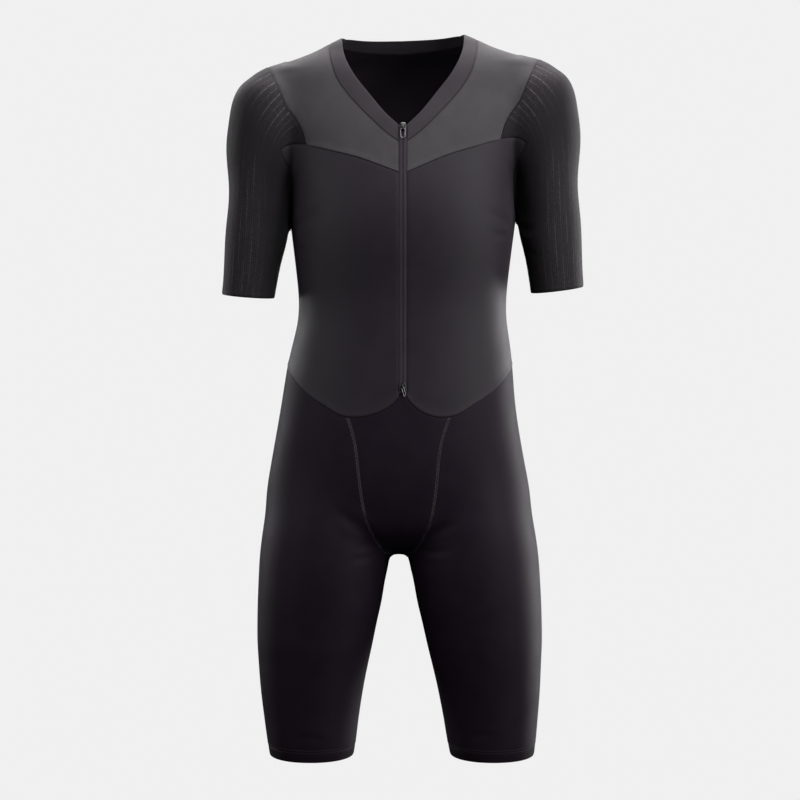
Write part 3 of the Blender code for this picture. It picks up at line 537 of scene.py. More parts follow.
    def _seams(self) -> dict[str, Seam]:
        """The seams by name, but for those round the limbs."""
        seam = self.seam
        yoke_columns = self.yoke_steps + self.cap_steps
        cap_rows = self.corner_steps + self.armhole_steps
        zip_rows = self.armhole_steps + self.side_steps
        return {
            "neck_front": seam(
                ("neck_zip", (23.4, -78, -103), (44.2, -66, -78.2), (63.8, -55, -53.3), (76.1, -40, -31.5),
                 (81.5, -25, -15.5), (83.6, 0, -1.5), (83.4, 24, 1.0), "neck_shoulder"),
                yoke_columns,
            ),
            "neck_back": seam(
                ("neck_shoulder", (62.0, 55, -1.5), (33.0, 64, -3), "neck_back"), self.neck_steps
            ),
            "band_front": seam(
                ("band_zip", (21, -88, -130.5), (39.5, -80, -114), (57, -70, -97.0), (77, -57, -74),
                 (92, -40, -50), (98.5, -22, -26), (100, 5, -8.5), (99, 26, -6.5), "band_shoulder"),
                yoke_columns,
            ),
            "band_back": seam(("band_shoulder", (75, 62, -13), (42, 73, -18), "band_back"), self.neck_steps),
            "yoke_front": seam(
                ("yoke_zip", (33.6, -97, -170), (65.4, -93, -158.3), (93.6, -86, -150.9), (115, -76, -145.4),
                 "cap_foot"),
                self.yoke_steps, FORWARD,
            ),
            "corner": seam(
                ("cap_foot", (145, -54, -141.6), (157, -50, -143.4), "corner"), self.corner_steps, FORWARD
            ),
            "cap_front": seam(
                ("cap_foot", (143, -58, -117), (155.5, -50, -89.9), (169, -36, -62), (179, -16, -43),
                 (183.2, 6, -36.5), (184, 26, -39), "cap_top"),
                self.cap_steps,
            ),
            "cap_back": seam(("cap_top", (175, 58, -68), (168, 69, -95), "cap_back"), self.back_cap_steps),
            "armhole_front": seam(
                ("corner", (162, -44, -160), (155.5, -38, -172), (151.3, -31, -188), (151.6, -20, -215),
                 (152.5, -8, -242), "armpit"),
                self.armhole_steps, (0.6, 1.0, 0.6), 0.35,
            ),
            "armhole_back": seam(
                ("cap_back", (159.5, 71, -148), (156, 60, -178), (153.5, 44, -208), (153.0, 25, -236),
                 "armpit"),
                cap_rows,
            ),
            "side": seam(
                ("armpit", (149.5, 8, -275), (143, 9, -345), (146, 9, -410), "waist_side"), self.side_steps
            ),
            "waist_front": seam(
                ("waist_zip", (12.0, -95, -490.8), (24.1, -95, -500.4), (37.6, -94, -506.6),
                 (57.8, -92, -510.2), "gusset_top"),
                self.gusset_top_steps, FORWARD,
            ),
            "waist_side": seam(
                ("gusset_top", (80, -86, -507), (91.7, -81, -500.1), (115.1, -68, -485.3),
                 (133.4, -50, -468), (145.2, -28, -453.8), "waist_side"),
                self.waist_steps,
            ),
            "waist_back": seam(
                ("waist_side", (146, 45, -442), (105, 78, -437), (50, 88, -434), "waist_back"),
                self.waist_steps,
            ),
            "zip_front": seam(("yoke_zip", (self.zip_half, -102, -300), "waist_zip"), zip_rows, FORWARD),
            "zip_yoke": seam(("band_zip", "yoke_zip"), self.shoulder_steps, FORWARD),
            "shoulder": seam(
                ("band_shoulder", (125, 50, -24), (155, 49, -38), "cap_top"), self.shoulder_steps
            ),
            "gusset": seam(
                ("gusset_top", (63.9, -92, -526), (59.2, -94, -543), (55.8, -95, -563), (53.2, -95, -590),
                 (50, -94, -620), (44.5, -88, -650), (34, -75, -677), (21, -48, -698), (8, -5, -708),
                 "crotch"),
                self.gusset_rows, (0.4, 1.0, 1.0),
            ),
            "back_rise": seam(
                ("waist_back", (0, 98, -490), (0, 112, -555), (0, 118, -615), (0, 110, -665),
                 (0, 82, -698), "crotch"),
                self.gusset_rows, (0.0, 1.0, 1.0),
            ),
        }

    def edge(self, *names: str) -> Edge:
        """An edge of seams on the right side. A name that starts with a minus runs backwards."""
        return Edge([(self.seams[name.lstrip("-")], name[0] == "-", False) for name in names])

    def whole_edge(self, *names: str) -> Edge:
        """An edge across the body, from the left side to the right, of seams that start on the middle."""
        right = self.edge(*names)
        return Edge(right.mirrored().reversed().runs + right.runs)

    def patches(self) -> dict[str, tuple]:
        """Each right or middle panel's patches: top, foot, start and end edges."""
        edge, across = self.edge, self.whole_edge
        back_side = edge("cap_back", "armhole_back", "side")
        gusset_side, neck_end = edge("gusset"), edge("neck_end")
        return {
            "yoke": (
                (edge("band_front"), edge("yoke_front", "cap_front"), edge("zip_yoke"), edge("shoulder")),
            ),
            "front": (
                (edge("yoke_front", "corner"), edge("waist_front", "waist_side"), edge("zip_front"),
                 edge("armhole_front", "side")),
            ),
            "sleeve": (
                (edge("cap_front", "cap_back"), edge("arm"), edge("corner", "armhole_front"),
                 edge("armhole_back")),
                (edge("arm"), edge("sleeve_hem"), edge("underarm"), edge("underarm")),
            ),
            "leg": (
                (edge("waist_side", "waist_back"), edge("thigh"), edge("gusset"), edge("back_rise")),
                (edge("thigh"), edge("knee"), edge("inseam"), edge("inseam")),
            ),
            "leg_band": ((edge("knee"), edge("leg_hem"), edge("band_end"), edge("band_end")),),
            "back": (
                (across("-band_back", "shoulder"), across("-waist_back"), back_side.mirrored(), back_side),
            ),
            "gusset": (
                (across("peak", "waist_front"), across("crotch_end"), gusset_side.mirrored(), gusset_side),
            ),
            "neckband": (
                (across("-neck_back", "-neck_front"), across("-band_back", "-band_front"),
                 neck_end.mirrored(), neck_end),
            ),
        }


@dataclass
class Surface:
    """A fine grid on the figure, the directions out of it, and where its rows and columns lie in steps."""

    points: Array
    normals: Array
    rows: Array
    columns: Array

    def mirrored(self) -> Surface:
        """The same surface on the other side of the body."""
        return Surface(mirrored(self.points), mirrored(self.normals), self.rows, self.columns)

    def edges(self) -> dict[str, Array]:
        """How far every point lies from each of the four edges, along the grid's own lines."""
        down, across = run_of(self.points, 0), run_of(self.points, 1)
        return {"top": down, "foot": down[-1] - down, "start": across, "end": across[:, -1:] - across}

    def places(self, side: str) -> Array:
        """Where the grid's lines meet an edge, in steps, shaped to spread over the grid."""
        return self.rows[:, None] if side in ("start", "end") else self.columns

    def pattern(self) -> Array:
        """Flat coordinates of every point: the mean length so far of the grid's rows and of its columns."""
        across = run_of(self.points, 1).mean(0)
        down = run_of(self.points, 0).mean(1)
        return np.stack(np.broadcast_arrays(across, -down[:, None]), -1).reshape(-1, 2)


@dataclass
class Weaver:
    """Lays a panel between its edges: evenly spread on the figure first, then finely by splines."""

    figure: Figure
    middle: int = 4  # lines of the middle grid to each coarse step
    rounds: int = 40

    @staticmethod
    def _between(top: Array, foot: Array, start: Array, end: Array) -> Array:
        """A Coons patch: both ruled surfaces of the four edges added, less the one of their corners."""
        down = np.linspace(0, 1, len(start))[:, None, None]
        across = np.linspace(0, 1, len(top))[None, :, None]
        ruled = (1 - down) * top + down * foot + (1 - across) * start[:, None] + across * end[:, None]
        corners = (1 - down) * ((1 - across) * top[0] + across * top[-1])
        return ruled - corners - down * ((1 - across) * foot[0] + across * foot[-1])

    def coarse(self, patches: Sequence[tuple]) -> Array:
        """The coarse grid of one or two patches, each of a top, foot, start and end edge, evened out."""
        grids = []
        for patch in patches:
            grids.append(self._between(*(edge.at(np.arange(edge.count + 1.0)) for edge in patch)))
        grid = np.concatenate([grids[0], *(part[1:] for part in grids[1:])])
        grid = self.figure.onto(grid, 12)
        for _ in range(self.rounds):
            even = (grid[:-2, 1:-1] + grid[2:, 1:-1] + grid[1:-1, :-2] + grid[1:-1, 2:]) / 4
            grid[1:-1, 1:-1] = self.figure.onto(even, 2)
        return grid

    @staticmethod
    def _held(grid: Array, edges: Sequence[Edge], rows: Array, columns: Array, reach: float) -> Array:
        """Moves a grid's edges onto their seams, and what lies near by a share that falls with distance."""
        top, foot, start, end = edges
        near = [np.clip(1 - away / reach, 0, 1)[..., None] for away in (
            rows[:, None], rows[-1] - rows[:, None], columns, columns[-1] - columns
        )]
        moved = grid + near[0] * (top.at(columns) - grid[0]) + near[1] * (foot.at(columns) - grid[-1])
        start_gap, end_gap = start.at(rows) - moved[:, 0], end.at(rows) - moved[:, -1]
        return moved + near[2] * start_gap[:, None] + near[3] * end_gap[:, None]

    def surface(self, patches: Sequence[tuple], rows: Callable, columns: Callable) -> Surface:
        """A panel's fine surface.

        Args:
            patches: the panel's patches from top to foot.
            rows: gives the places of the fine rows for a number of coarse steps.
            columns: the same for the columns.

        Returns:
            The surface of the panel as drawn, before any relief.
        """
        coarse = self.coarse(patches)
        starts = [run for patch in patches for run in patch[2].runs]
        ends = [run for patch in patches for run in patch[3].runs]
        edges = (patches[0][0], patches[-1][1], Edge(starts), Edge(ends))
        steps = [count - 1 for count in coarse.shape[:2]]
        even = [np.linspace(0, step, step * self.middle + 1) for step in steps]
        middle = self._held(self._read(coarse, *even), edges, *even, 1.0)
        middle[1:-1, 1:-1] = self.figure.onto(middle[1:-1, 1:-1], 4)
        fine = rows(steps[0]), columns(steps[1])
        places = [np.clip(line * self.middle, 0, step * self.middle) for line, step in zip(fine, steps)]
        points = self._held(self._read(middle, *places), edges, *fine, 1 / self.middle)
        return Surface(points, unit(self._read(self.figure.outward(middle), *places)), *fine)

    @staticmethod
    def _read(grid: Array, rows: Array, columns: Array) -> Array:
        """A grid read at some rows and columns by splines both ways."""
        for places in (rows, columns):
            grid = spline(np.arange(len(grid)), grid, places).swapaxes(0, 1)
        return grid


@dataclass(frozen=True)
class Spacing:
    """Where a grid's fine lines lie: even inside, and three close to each edge for its rolled rim."""

    per_step: int
    rim: tuple = (0.012, 0.035, 0.08)
    clear: float = 0.112

    def __call__(self, steps: int) -> Array:
        """The places of the lines for a number of coarse steps."""
        inner = np.linspace(0, steps, steps * self.per_step + 1)
        inner = inner[(inner > self.clear) & (inner < steps - self.clear)]
        close = np.array(self.rim)
        return np.concatenate([[0.0], close, inner, steps - close[::-1], [float(steps)]])


@dataclass(frozen=True)
class RibSpacing:
    """Columns of a ribbed panel: closer on each rib's crest than between two ribs."""

    ribs_per_step: int = 2
    phases: tuple = (-0.5, -0.33, -0.2, -0.1, 0.0, 0.1, 0.2, 0.33)
    rim: tuple = (0.02, 0.06)

    def __call__(self, steps: int) -> Array:
        """The places of the columns for a number of coarse steps."""
        crests = np.arange(steps * self.ribs_per_step) + 0.5
        places = (crests[:, None] + np.array(self.phases)).ravel() / self.ribs_per_step
        close = np.array(self.rim)
        return np.concatenate([[0.0], close, places[1:], steps - close[::-1], [float(steps)]])


@dataclass(frozen=True)
class Crease:
    """A soft trough in the cloth with a low swell on both sides, through a few places near the figure.

    Path is those places, width the trough's and depth its depth. A swell is as high as its share of the
    depth, and lies as far out and is as wide as its shares of the width.
    """

    path: tuple
    width: float
    depth: float
    swell: tuple = (0.38, 1.9, 0.85)
    reach: float = 4.5
    fade_in: tuple = (-0.02, 0.3)
    fade_out: tuple = (0.6, 1.02)

    def line(self, figure: Figure) -> Array:
        """The crease's line, a spline through its places laid on the figure."""
        return figure.onto(curve_through(np.array(self.path, float), 18))

    def height(self, line: Array, points: Array) -> Array:
        """How far the crease on a line moves each point outward.

        The trough is a bell of the distance over the width, and each swell is a wider bell. Both fade to
        nothing towards the crease's ends.
        """
        reach = self.reach * self.width
        inside = ((points > line.min(0) - reach) & (points < line.max(0) + reach)).all(-1)
        height = np.zeros(points.shape[:-1])
        if not inside.any():
            return height
        near = points[inside]
        start, step = line[:-1], np.diff(line, axis=0)
        share = ((near[:, None] - start) * step).sum(-1) / np.maximum((step**2).sum(-1), TINY)
        share = np.clip(share, 0, 1)
        away = np.linalg.norm(near[:, None] - start - share[..., None] * step, axis=-1)
        closest = away.argmin(1)
        picked = np.arange(len(near)), closest
        place = (closest + share[picked]) / len(step)
        fade = eased(place, *self.fade_in) * (1 - eased(place, *self.fade_out))
        across = away[picked] / self.width
        high, out, wide = self.swell
        height[inside] = self.depth * fade * (high * bell(across - out, wide) - bell(across, 1.0))
        return height


@dataclass
class Relief:
    """What lifts and dips the cloth: creases, the pull of the seams, and small puckers beside them."""

    figure: Figure
    creases: tuple
    seam_width: float = 2.4
    pucker_reach: float = 7.0
    sway: float = 0.25
    sway_from: tuple = (2.0, 25.0)

    def __post_init__(self) -> None:
        """Lays every crease's line once."""
        self.lines = [crease.line(self.figure) for crease in self.creases]

    def height(self, points: Array, edge: Array, seam_dip: float, pucker: float) -> Array:
        """The outward move of each point, before the suit is posed.

        Puckers and the slow sway are products of sines of the point's place, so two panels agree at their
        seam. Their divisors are wavelengths over two pi, in mm, and none is a multiple of another.

        Args:
            points: points on the figure.
            edge: how far each lies from the nearest edge of its panel.
            seam_dip: how deep the cloth is drawn in at a seam.
            pucker: how high the small waves beside a seam are.

        Returns:
            Heights in mm.
        """
        height = sum(crease.height(line, points) for crease, line in zip(self.creases, self.lines))
        x, y, z = (points[..., c] for c in range(3))
        rows = np.sin(z / 2.3 + 1.7 * np.sin(x / 17) + 0.6)
        columns = np.sin((x + 0.7 * y) / 2.9 + 1.1 * np.sin(z / 23))
        patchy = 0.55 + 0.45 * np.sin(x / 31 + z / 37 + 1.3) * np.sin(y / 29 - z / 53)
        height = height + pucker * rows * columns * patchy * bell(edge, self.pucker_reach)
        slow = np.sin(x / 41 + 0.8 * np.sin(z / 67)) * np.sin(z / 49 + y / 61 + 0.9)
        height = height + self.sway * slow * eased(edge, *self.sway_from)
        return height - seam_dip * bell(edge, self.seam_width)


def linear(shade: str) -> tuple[float, float, float, float]:
    """An sRGB hex shade as a linear colour with full alpha."""
    parts = [int(shade[k : k + 2], 16) / 255 for k in (1, 3, 5)]
    return (*(c / 12.92 if c <= 0.04045 else ((c + 0.055) / 1.055) ** 2.4 for c in parts), 1.0)


@dataclass
class Recipe:
    """A material under construction, with one way to add a node to it."""

    name: str

    def __post_init__(self) -> None:
        """Starts the material with nothing but its shader and output."""
        self.material = bpy.data.materials.new(self.name)
        self.material.use_nodes = True
        self.tree = self.material.node_tree
        self.tree.nodes.clear()
        self.shader = self.add("ShaderNodeBsdfPrincipled")
        output = self.add("ShaderNodeOutputMaterial", Surface=self.shader.outputs["BSDF"])
        output.is_active_output = True

    def add(self, kind: str, settings: dict | None = None, **inputs: object) -> bpy.types.Node:
        """Adds a node.

        Args:
            kind: the node's type.
            settings: its own settings, such as an operation.
            inputs: a value or another node's socket for each input. An underscore stands for a space in a
                name, and in0, in1 and so on stand for an input by its number.

        Returns:
            The node.
        """
        node = self.tree.nodes.new(kind)
        for name, value in (settings or {}).items():
            setattr(node, name, value)
        for name, value in inputs.items():
            by_number = name.startswith("in") and name[2:].isdigit()
            self._set(node.inputs[int(name[2:]) if by_number else name.replace("_", " ")], value)
        return node

    def _set(self, socket: Socket, value: object) -> None:
        """Links another node's socket to an input, or sets its value."""
        if isinstance(value, Socket):
            self.tree.links.new(value, socket)
        else:
            socket.default_value = value

    def math(self, operation: str, *values: object, clamp: bool = False) -> Socket:
        """The result of a math node on some values or sockets."""
        inputs = {f"in{k}": value for k, value in enumerate(values)}
        return self.add("ShaderNodeMath", {"operation": operation, "use_clamp": clamp}, **inputs).outputs[0]

    def mix(self, share: object, first: object, second: object) -> Socket:
        """A colour between two."""
        node = self.add("ShaderNodeMix", {"data_type": "RGBA"}, in0=share, in6=first, in7=second)
        return node.outputs[2]

    def noise(self, size: float, detail: float) -> Socket:
        """Noise with features about size mm wide, on the object's own coordinates."""
        where = self.add("ShaderNodeTexCoord").outputs["Object"]
        node = self.add("ShaderNodeTexNoise", Vector=where, Scale=1 / (size * MM), Detail=detail)
        return node.outputs["Fac"]

    def spread(self, value: Socket, low: float, high: float, to_low: float = 0.0,
               to_high: float = 1.0) -> Socket:
        """A value moved from one range to another, held inside it."""
        smooth = {"interpolation_type": "SMOOTHSTEP"}
        node = self.add("ShaderNodeMapRange", smooth, in0=value, in1=low, in2=high, in3=to_low, in4=to_high)
        return node.outputs[0]

    def finish(self, sockets: dict) -> Material:
        """The material, with its shader's sockets set or linked by name."""
        for name, value in sockets.items():
            self._set(self.shader.inputs[name], value)
        return self.material


class Stitch(Enum):
    """How a cloth's surface is built up at the scale of its yarn."""

    PLAIN_KNIT = "rows of V-shaped loops"
    RIB_KNIT = "rows of loops between raised ribs"
    WOVEN = "fine crosswise weft of a zip tape"


@dataclass(frozen=True)
class Knit:
    """A cloth's finish. Lengths are millimetres of the real thing.

    Its yarn runs in courses and wales. Gap, seam and crest are shades of painted light: the painted shade in
    the gaps between the yarn, the painted shadow along a seam and the painted highlight on a rib's crest;
    patch, fleck, dash and grain are the sizes of its uneven places.
    """

    name: str
    stitch: Stitch
    deep: str
    lit: str
    wale: float
    course: float
    loop_height: float
    roughness: float
    sheen: float
    sheen_tint: str
    sheen_roughness: float
    specular: float
    seam_shade: float = 0.55
    gap: str = "#050405"
    seam: str = "#070607"
    # the shade of the painted highlight on a rib's crest
    crest: str = "#575357"
    patch: float = 26.0
    fleck: float = 1.6
    dash: float = 2.6
    grain: float = 0.5

    def material(self) -> Material:
        """The material of this cloth: two shades, seams in painted shadow, loops of yarn, and the nap's
        sheen.
        """
        recipe = Recipe(self.name)
        loops = self._loops(recipe)
        from_seam, crest = (
            recipe.add("ShaderNodeAttribute", {"attribute_name": mark}).outputs["Fac"] for mark in MARKS
        )
        # broad, faint patches, as where stretch opens the knit and the ground shows through
        patches = recipe.spread(recipe.noise(self.patch, 2.0), 0.3, 0.7)
        faint = recipe.math("MULTIPLY", patches, 0.22)
        share = recipe.math("MULTIPLY_ADD", recipe.noise(self.fleck, 1.0), 0.55, faint, clamp=True)
        colour = recipe.mix(share, linear(self.deep), linear(self.lit))
        # the yarn's shaded gaps
        gaps = recipe.math("MULTIPLY", recipe.math("SUBTRACT", 1.0, loops), 0.3)
        colour = recipe.mix(gaps, colour, linear(self.gap))
        # painted highlight: a rib's crest is drawn paler than its ground, in dashes, as where light catches
        # it
        dashes = recipe.spread(recipe.noise(self.dash, 1.0), 0.36, 0.62, 0.4, 1.0)
        pale = recipe.math("MULTIPLY", recipe.math("MULTIPLY", crest, dashes), 0.6)
        colour = recipe.mix(pale, colour, linear(self.crest))
        # a seam drawn darker: the doubled cloth, and a painted shadow along its lap and groove
        shadow = recipe.spread(from_seam, 0.2, 1.5, self.seam_shade, 0.0)
        colour = recipe.mix(shadow, colour, linear(self.seam))
        height = recipe.math("MULTIPLY_ADD", recipe.noise(self.grain, 2.0), 0.25, loops)
        bump = recipe.add("ShaderNodeBump", Strength=0.7, Distance=self.loop_height * MM, Height=height)
        return recipe.finish({
            "Base Color": colour,
            "Roughness": recipe.spread(patches, 0.0, 1.0, self.roughness - 0.01, self.roughness + 0.02),
            "Normal": bump.outputs["Normal"],
            "Specular IOR Level": self.specular,
            "Sheen Weight": self.sheen,
            "Sheen Roughness": self.sheen_roughness,
            "Sheen Tint": linear(self.sheen_tint),
        })

    def _loops(self, recipe: Recipe) -> Socket:
        """The height of the yarn, 0 to 1.

        A knit loop's two legs form a V: a wale's side to side wave tilts every course, and a course is a
        smooth wave down the cloth. A woven tape is a plain wave down the tape.
        """
        flat = recipe.add("ShaderNodeUVMap", {"uv_map": "pattern"}).outputs[0]
        pattern = recipe.add("ShaderNodeSeparateXYZ", in0=flat).outputs
        course = recipe.math("DIVIDE", pattern["Y"], self.course * MM)
        if self.stitch is Stitch.WOVEN:
            return recipe.math("PINGPONG", course, 0.5)
        wale = recipe.math("PINGPONG", recipe.math("DIVIDE", pattern["X"], self.wale * MM), 0.5)
        tilted = recipe.math("ADD", course, recipe.math("MULTIPLY", wale, 1.1))
        leg = recipe.math("MULTIPLY", recipe.math("PINGPONG", tilted, 0.5), 2.0)
        furrow = recipe.math("POWER", recipe.math("MULTIPLY", wale, 2.0), 0.5)
        return recipe.math("MULTIPLY", leg, furrow)


@dataclass(frozen=True)
class SmallFinish:
    """The finish of a small part: its shade, the shade where it is rubbed, and its grain."""

    name: str
    shade: str
    worn: str
    metallic: float
    roughness: float
    rubbed: float = 2.2
    grain: float = 0.35
    grain_depth: float = 0.03

    def material(self) -> Material:
        """The material: one shade with paler, smoother rubbed places and a fine grain."""
        recipe = Recipe(self.name)
        rubbed = recipe.spread(recipe.noise(self.rubbed, 3.0), 0.5, 0.72)
        grain = recipe.noise(self.grain, 2.0)
        bump = recipe.add("ShaderNodeBump", Strength=0.4, Distance=self.grain_depth * MM, Height=grain)
        return recipe.finish({
            "Base Color": recipe.mix(rubbed, linear(self.shade), linear(self.worn)),
            "Roughness": recipe.spread(rubbed, 0.0, 1.0, self.roughness, self.roughness * 0.7),
            "Normal": bump.outputs["Normal"],
            "Metallic": self.metallic,
        })


@dataclass
class Piece:
    """A new mesh with its place in its points, in mm, and quads or triangles for faces.

    A cloth's piece also has the flat pattern of its points and the marks that its material reads.
    """

    name: str
    points: Array
    faces: Array
    material: Material
    pattern: Array | None = None
    marks: dict = field(default_factory=dict)

    def build(self) -> bpy.types.Object:
        """Makes the mesh and its object."""
        mesh = bpy.data.meshes.new(self.name)
        corners = self.faces.astype(np.int32).ravel()
        mesh.vertices.add(len(self.points))
        mesh.vertices.foreach_set("co", (self.points * MM).astype(np.float32).ravel())
        mesh.loops.add(corners.size)
        mesh.loops.foreach_set("vertex_index", corners)
        mesh.polygons.add(len(self.faces))
        starts = np.arange(0, corners.size, self.faces.shape[1], dtype=np.int32)
        mesh.polygons.foreach_set("loop_start", starts)
        mesh.polygons.foreach_set("use_smooth", np.ones(len(self.faces), bool))
        mesh.materials.append(self.material)
        mesh.update(calc_edges=True)
        mesh.validate()
        if self.pattern is not None:
            corners = np.empty(len(mesh.loops), np.int32)
            mesh.loops.foreach_get("vertex_index", corners)
            flat = (self.pattern * MM).astype(np.float32)
            mesh.uv_layers.new(name="pattern").data.foreach_set("uv", flat[corners].ravel())
        for name, values in self.marks.items():
            layer = mesh.attributes.new(name, "FLOAT", "POINT")
            layer.data.foreach_set("value", values.astype(np.float32))
        made = bpy.data.objects.new(self.name, mesh)
        bpy.context.scene.collection.objects.link(made)
        log.info("%s: %d faces", self.name, len(mesh.polygons))
        return made

    def fit(self, body: str, slot: str, node: str = "") -> bpy.types.Object:
        """Args:
            body: the body that it rides on.
            slot: not used.
            node: the CAD node that it stands in for, if any.

        Returns:
            The object.
        """
        made = self.build()
        if node:
            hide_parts(node)
        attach(made, body)
        return made


@dataclass(frozen=True)
class Lap:
    """How far a panel's foot reaches over its neighbour and stands up, as far as some step along it."""

    reach: float
    stand: float
    until: float = 99.0
    width: float = 4.0

    def near(self, away: Array, places: Array) -> Array:
        """1 at the edge, falling to 0 away from it and past its last step."""
        return bell(away, self.width) * (1 - eased(places, self.until - 0.5, self.until + 0.1))


@dataclass(frozen=True)
class Groove:
    """How wide a panel's edge is drawn dark with painted seam shadow, as far as some step along it, and after
    it.
    """

    width: float = 1.0
    until: float = 99.0
    after: float = 1.0

    def widths(self, places: Array) -> Array:
        """The groove's width at every place along the edge."""
        return self.width + (self.after - self.width) * eased(places, self.until - 0.5, self.until + 0.5)


@dataclass(frozen=True)
class Trim:
    """How a panel is finished: its seams' dip, the puckers beside them, its lap, its grooves and its ribs."""

    grooves: dict = field(default_factory=dict)
    lap: Lap | None = None
    seam_dip: float = 0.4
    pucker: float = 0.12
    ribbed: bool = False


@dataclass(frozen=True)
class Ribs:
    """Raised ribs: a narrow crest at every whole phase, and two low ones at the thirds between.

    The crests are strongest beside the shoulder seam and fade down the arm and towards the seam's foot, where
    they would crowd; on the arm's outer side they go on, low, down to the hem. Rises and painted highlights
    are shares of the whole, for the sleeve all over, for its cap and for the arm's outer side. The highlight
    is painted light on the crests, strongest on the cap, where light from above falls.
    """

    height: float = 0.5
    per_step: int = RibSpacing.ribs_per_step
    crest_width: float = 0.10
    low_width: float = 0.09
    third: float = 0.33
    cap_reach: float = 36.0
    foot: tuple = SeamPlan.cap_foot
    foot_fade: tuple = (14.0, 62.0)
    arm_side: tuple = (176.0, 206.0)
    arm_drop: tuple = (110.0, 190.0)
    crest_rise: tuple = (0.1, 0.9, 0.6)
    low_rise: tuple = (0.03, 0.1, 0.2)
    # how strong the painted highlight on the crests and on the low ribs is: all over, on the cap and on the
    # arm's side
    crest_highlight: tuple = (0.0, 1.0, 0.45)
    low_highlight: tuple = (0.0, 0.3, 0.2)

    def lay(self, surface: Surface, from_cap: Array) -> tuple[Array, Array]:
        """The rise of the ribs and how strong each crest's painted highlight is, 0 to 1."""
        phase = surface.columns * self.per_step - 0.5
        away = phase - np.round(phase)
        x, z = np.abs(surface.points[..., 0]), surface.points[..., 2]
        on_right = np.concatenate([x[..., None], surface.points[..., 1:]], axis=-1)
        from_foot = np.linalg.norm(on_right - self.foot, axis=-1)
        cap = bell(from_cap, self.cap_reach) * eased(from_foot, *self.foot_fade)
        arm = eased(x, *self.arm_side) * eased(-z, *self.arm_drop)
        uneven = 0.75 + 0.25 * np.sin(np.round(phase) * 2.4 + z / 19.0)
        crest = bell(away, self.crest_width) * uneven
        low = bell(np.abs(np.abs(away) - self.third), self.low_width)
        weights = (self.crest_rise, self.low_rise, self.crest_highlight, self.low_highlight)
        crest_rise, low_rise, crest_highlight, low_highlight = (
            everywhere + on_cap * cap + on_arm * arm for everywhere, on_cap, on_arm in weights
        )
        rise = self.height * crest * crest_rise + low * low_rise
        # the second value is the painted highlight drawn on each crest
        return rise, np.clip(crest * crest_highlight + low * low_highlight, 0, 1)


@dataclass
class Cloth:
    """Turns a surface into a thin shell of cloth with rolled rims."""

    relief: Relief
    pose: WornPose
    ribs: Ribs = Ribs()
    thickness: float = 0.9
    rim: float = 0.32
    rim_width: float = 0.45
    inner_rim: float = 0.6
    rib_fade: tuple = (0.6, 3.5)
    farthest_mark: float = 30.0

    def shell(self, name: str, surface: Surface, material: Material, trim: Trim) -> Piece:
        """A panel's shell: the surface's grid lifted for its outer and its inner layer, joined at the rims.

        Args:
            name: the piece's name.
            surface: the panel's surface.
            material: its cloth.
            trim: how it is finished.

        Returns:
            The panel's piece.
        """
        points, normals, edges = surface.points, surface.normals, surface.edges()
        edge = np.minimum.reduce(list(edges.values()))
        height = self.relief.height(points, edge, trim.seam_dip, trim.pucker)
        crest = np.zeros(height.shape)
        if trim.ribbed:
            rise, crest = self.ribs.lay(surface, edges["top"])
            fade = eased(edge, *self.rib_fade)
            height, crest = height + rise * fade, crest * fade
        shift = np.zeros(points.shape)
        if trim.lap:
            near = trim.lap.near(edges["foot"], surface.places("foot"))
            shift = trim.lap.reach * near[..., None] * unit(np.gradient(points, axis=0))
            height = height + (trim.lap.stand + trim.seam_dip) * near
        from_seam = np.minimum.reduce([
            away / trim.grooves.get(side, Groove()).widths(surface.places(side))
            for side, away in edges.items()
        ])
        roll = self.rim * bell(edge, self.rim_width)
        levels = (height - roll, height - self.thickness + roll * self.inner_rim)
        layers = [self.pose(points + shift + normals * level[..., None]).reshape(-1, 3) for level in levels]
        marks = {
            mark: np.tile(np.clip(values.ravel(), 0, self.farthest_mark), 2)
            for mark, values in zip(MARKS, (from_seam, crest))
        }
        pattern = np.tile(surface.pattern(), (2, 1))
        return Piece(name, np.concatenate(layers), self._faces(points, normals), material, pattern, marks)

    @staticmethod
    def _faces(points: Array, normals: Array) -> Array:
        """Quads of the outer layer, of the inner layer turned over, and of the rim between them."""
        rows, columns = points.shape[:2]
        count = rows * columns
        grid = np.arange(count).reshape(rows, columns)
        quads = np.stack([grid[:-1, :-1], grid[1:, :-1], grid[1:, 1:], grid[:-1, 1:]], -1).reshape(-1, 4)
        loop = np.concatenate([grid[:-1, 0], grid[-1, :-1], grid[:0:-1, -1], grid[0, :0:-1]])
        after = np.roll(loop, -1)
        rim = np.stack([loop, loop + count, after + count, after], -1)
        facing = np.cross(points[1:, :-1] - points[:-1, :-1], points[:-1, 1:] - points[:-1, :-1])
        if (facing * normals[:-1, :-1]).sum() < 0:
            quads, rim = quads[:, ::-1], rim[:, ::-1]
        return np.concatenate([quads, quads[:, ::-1] + count, rim])


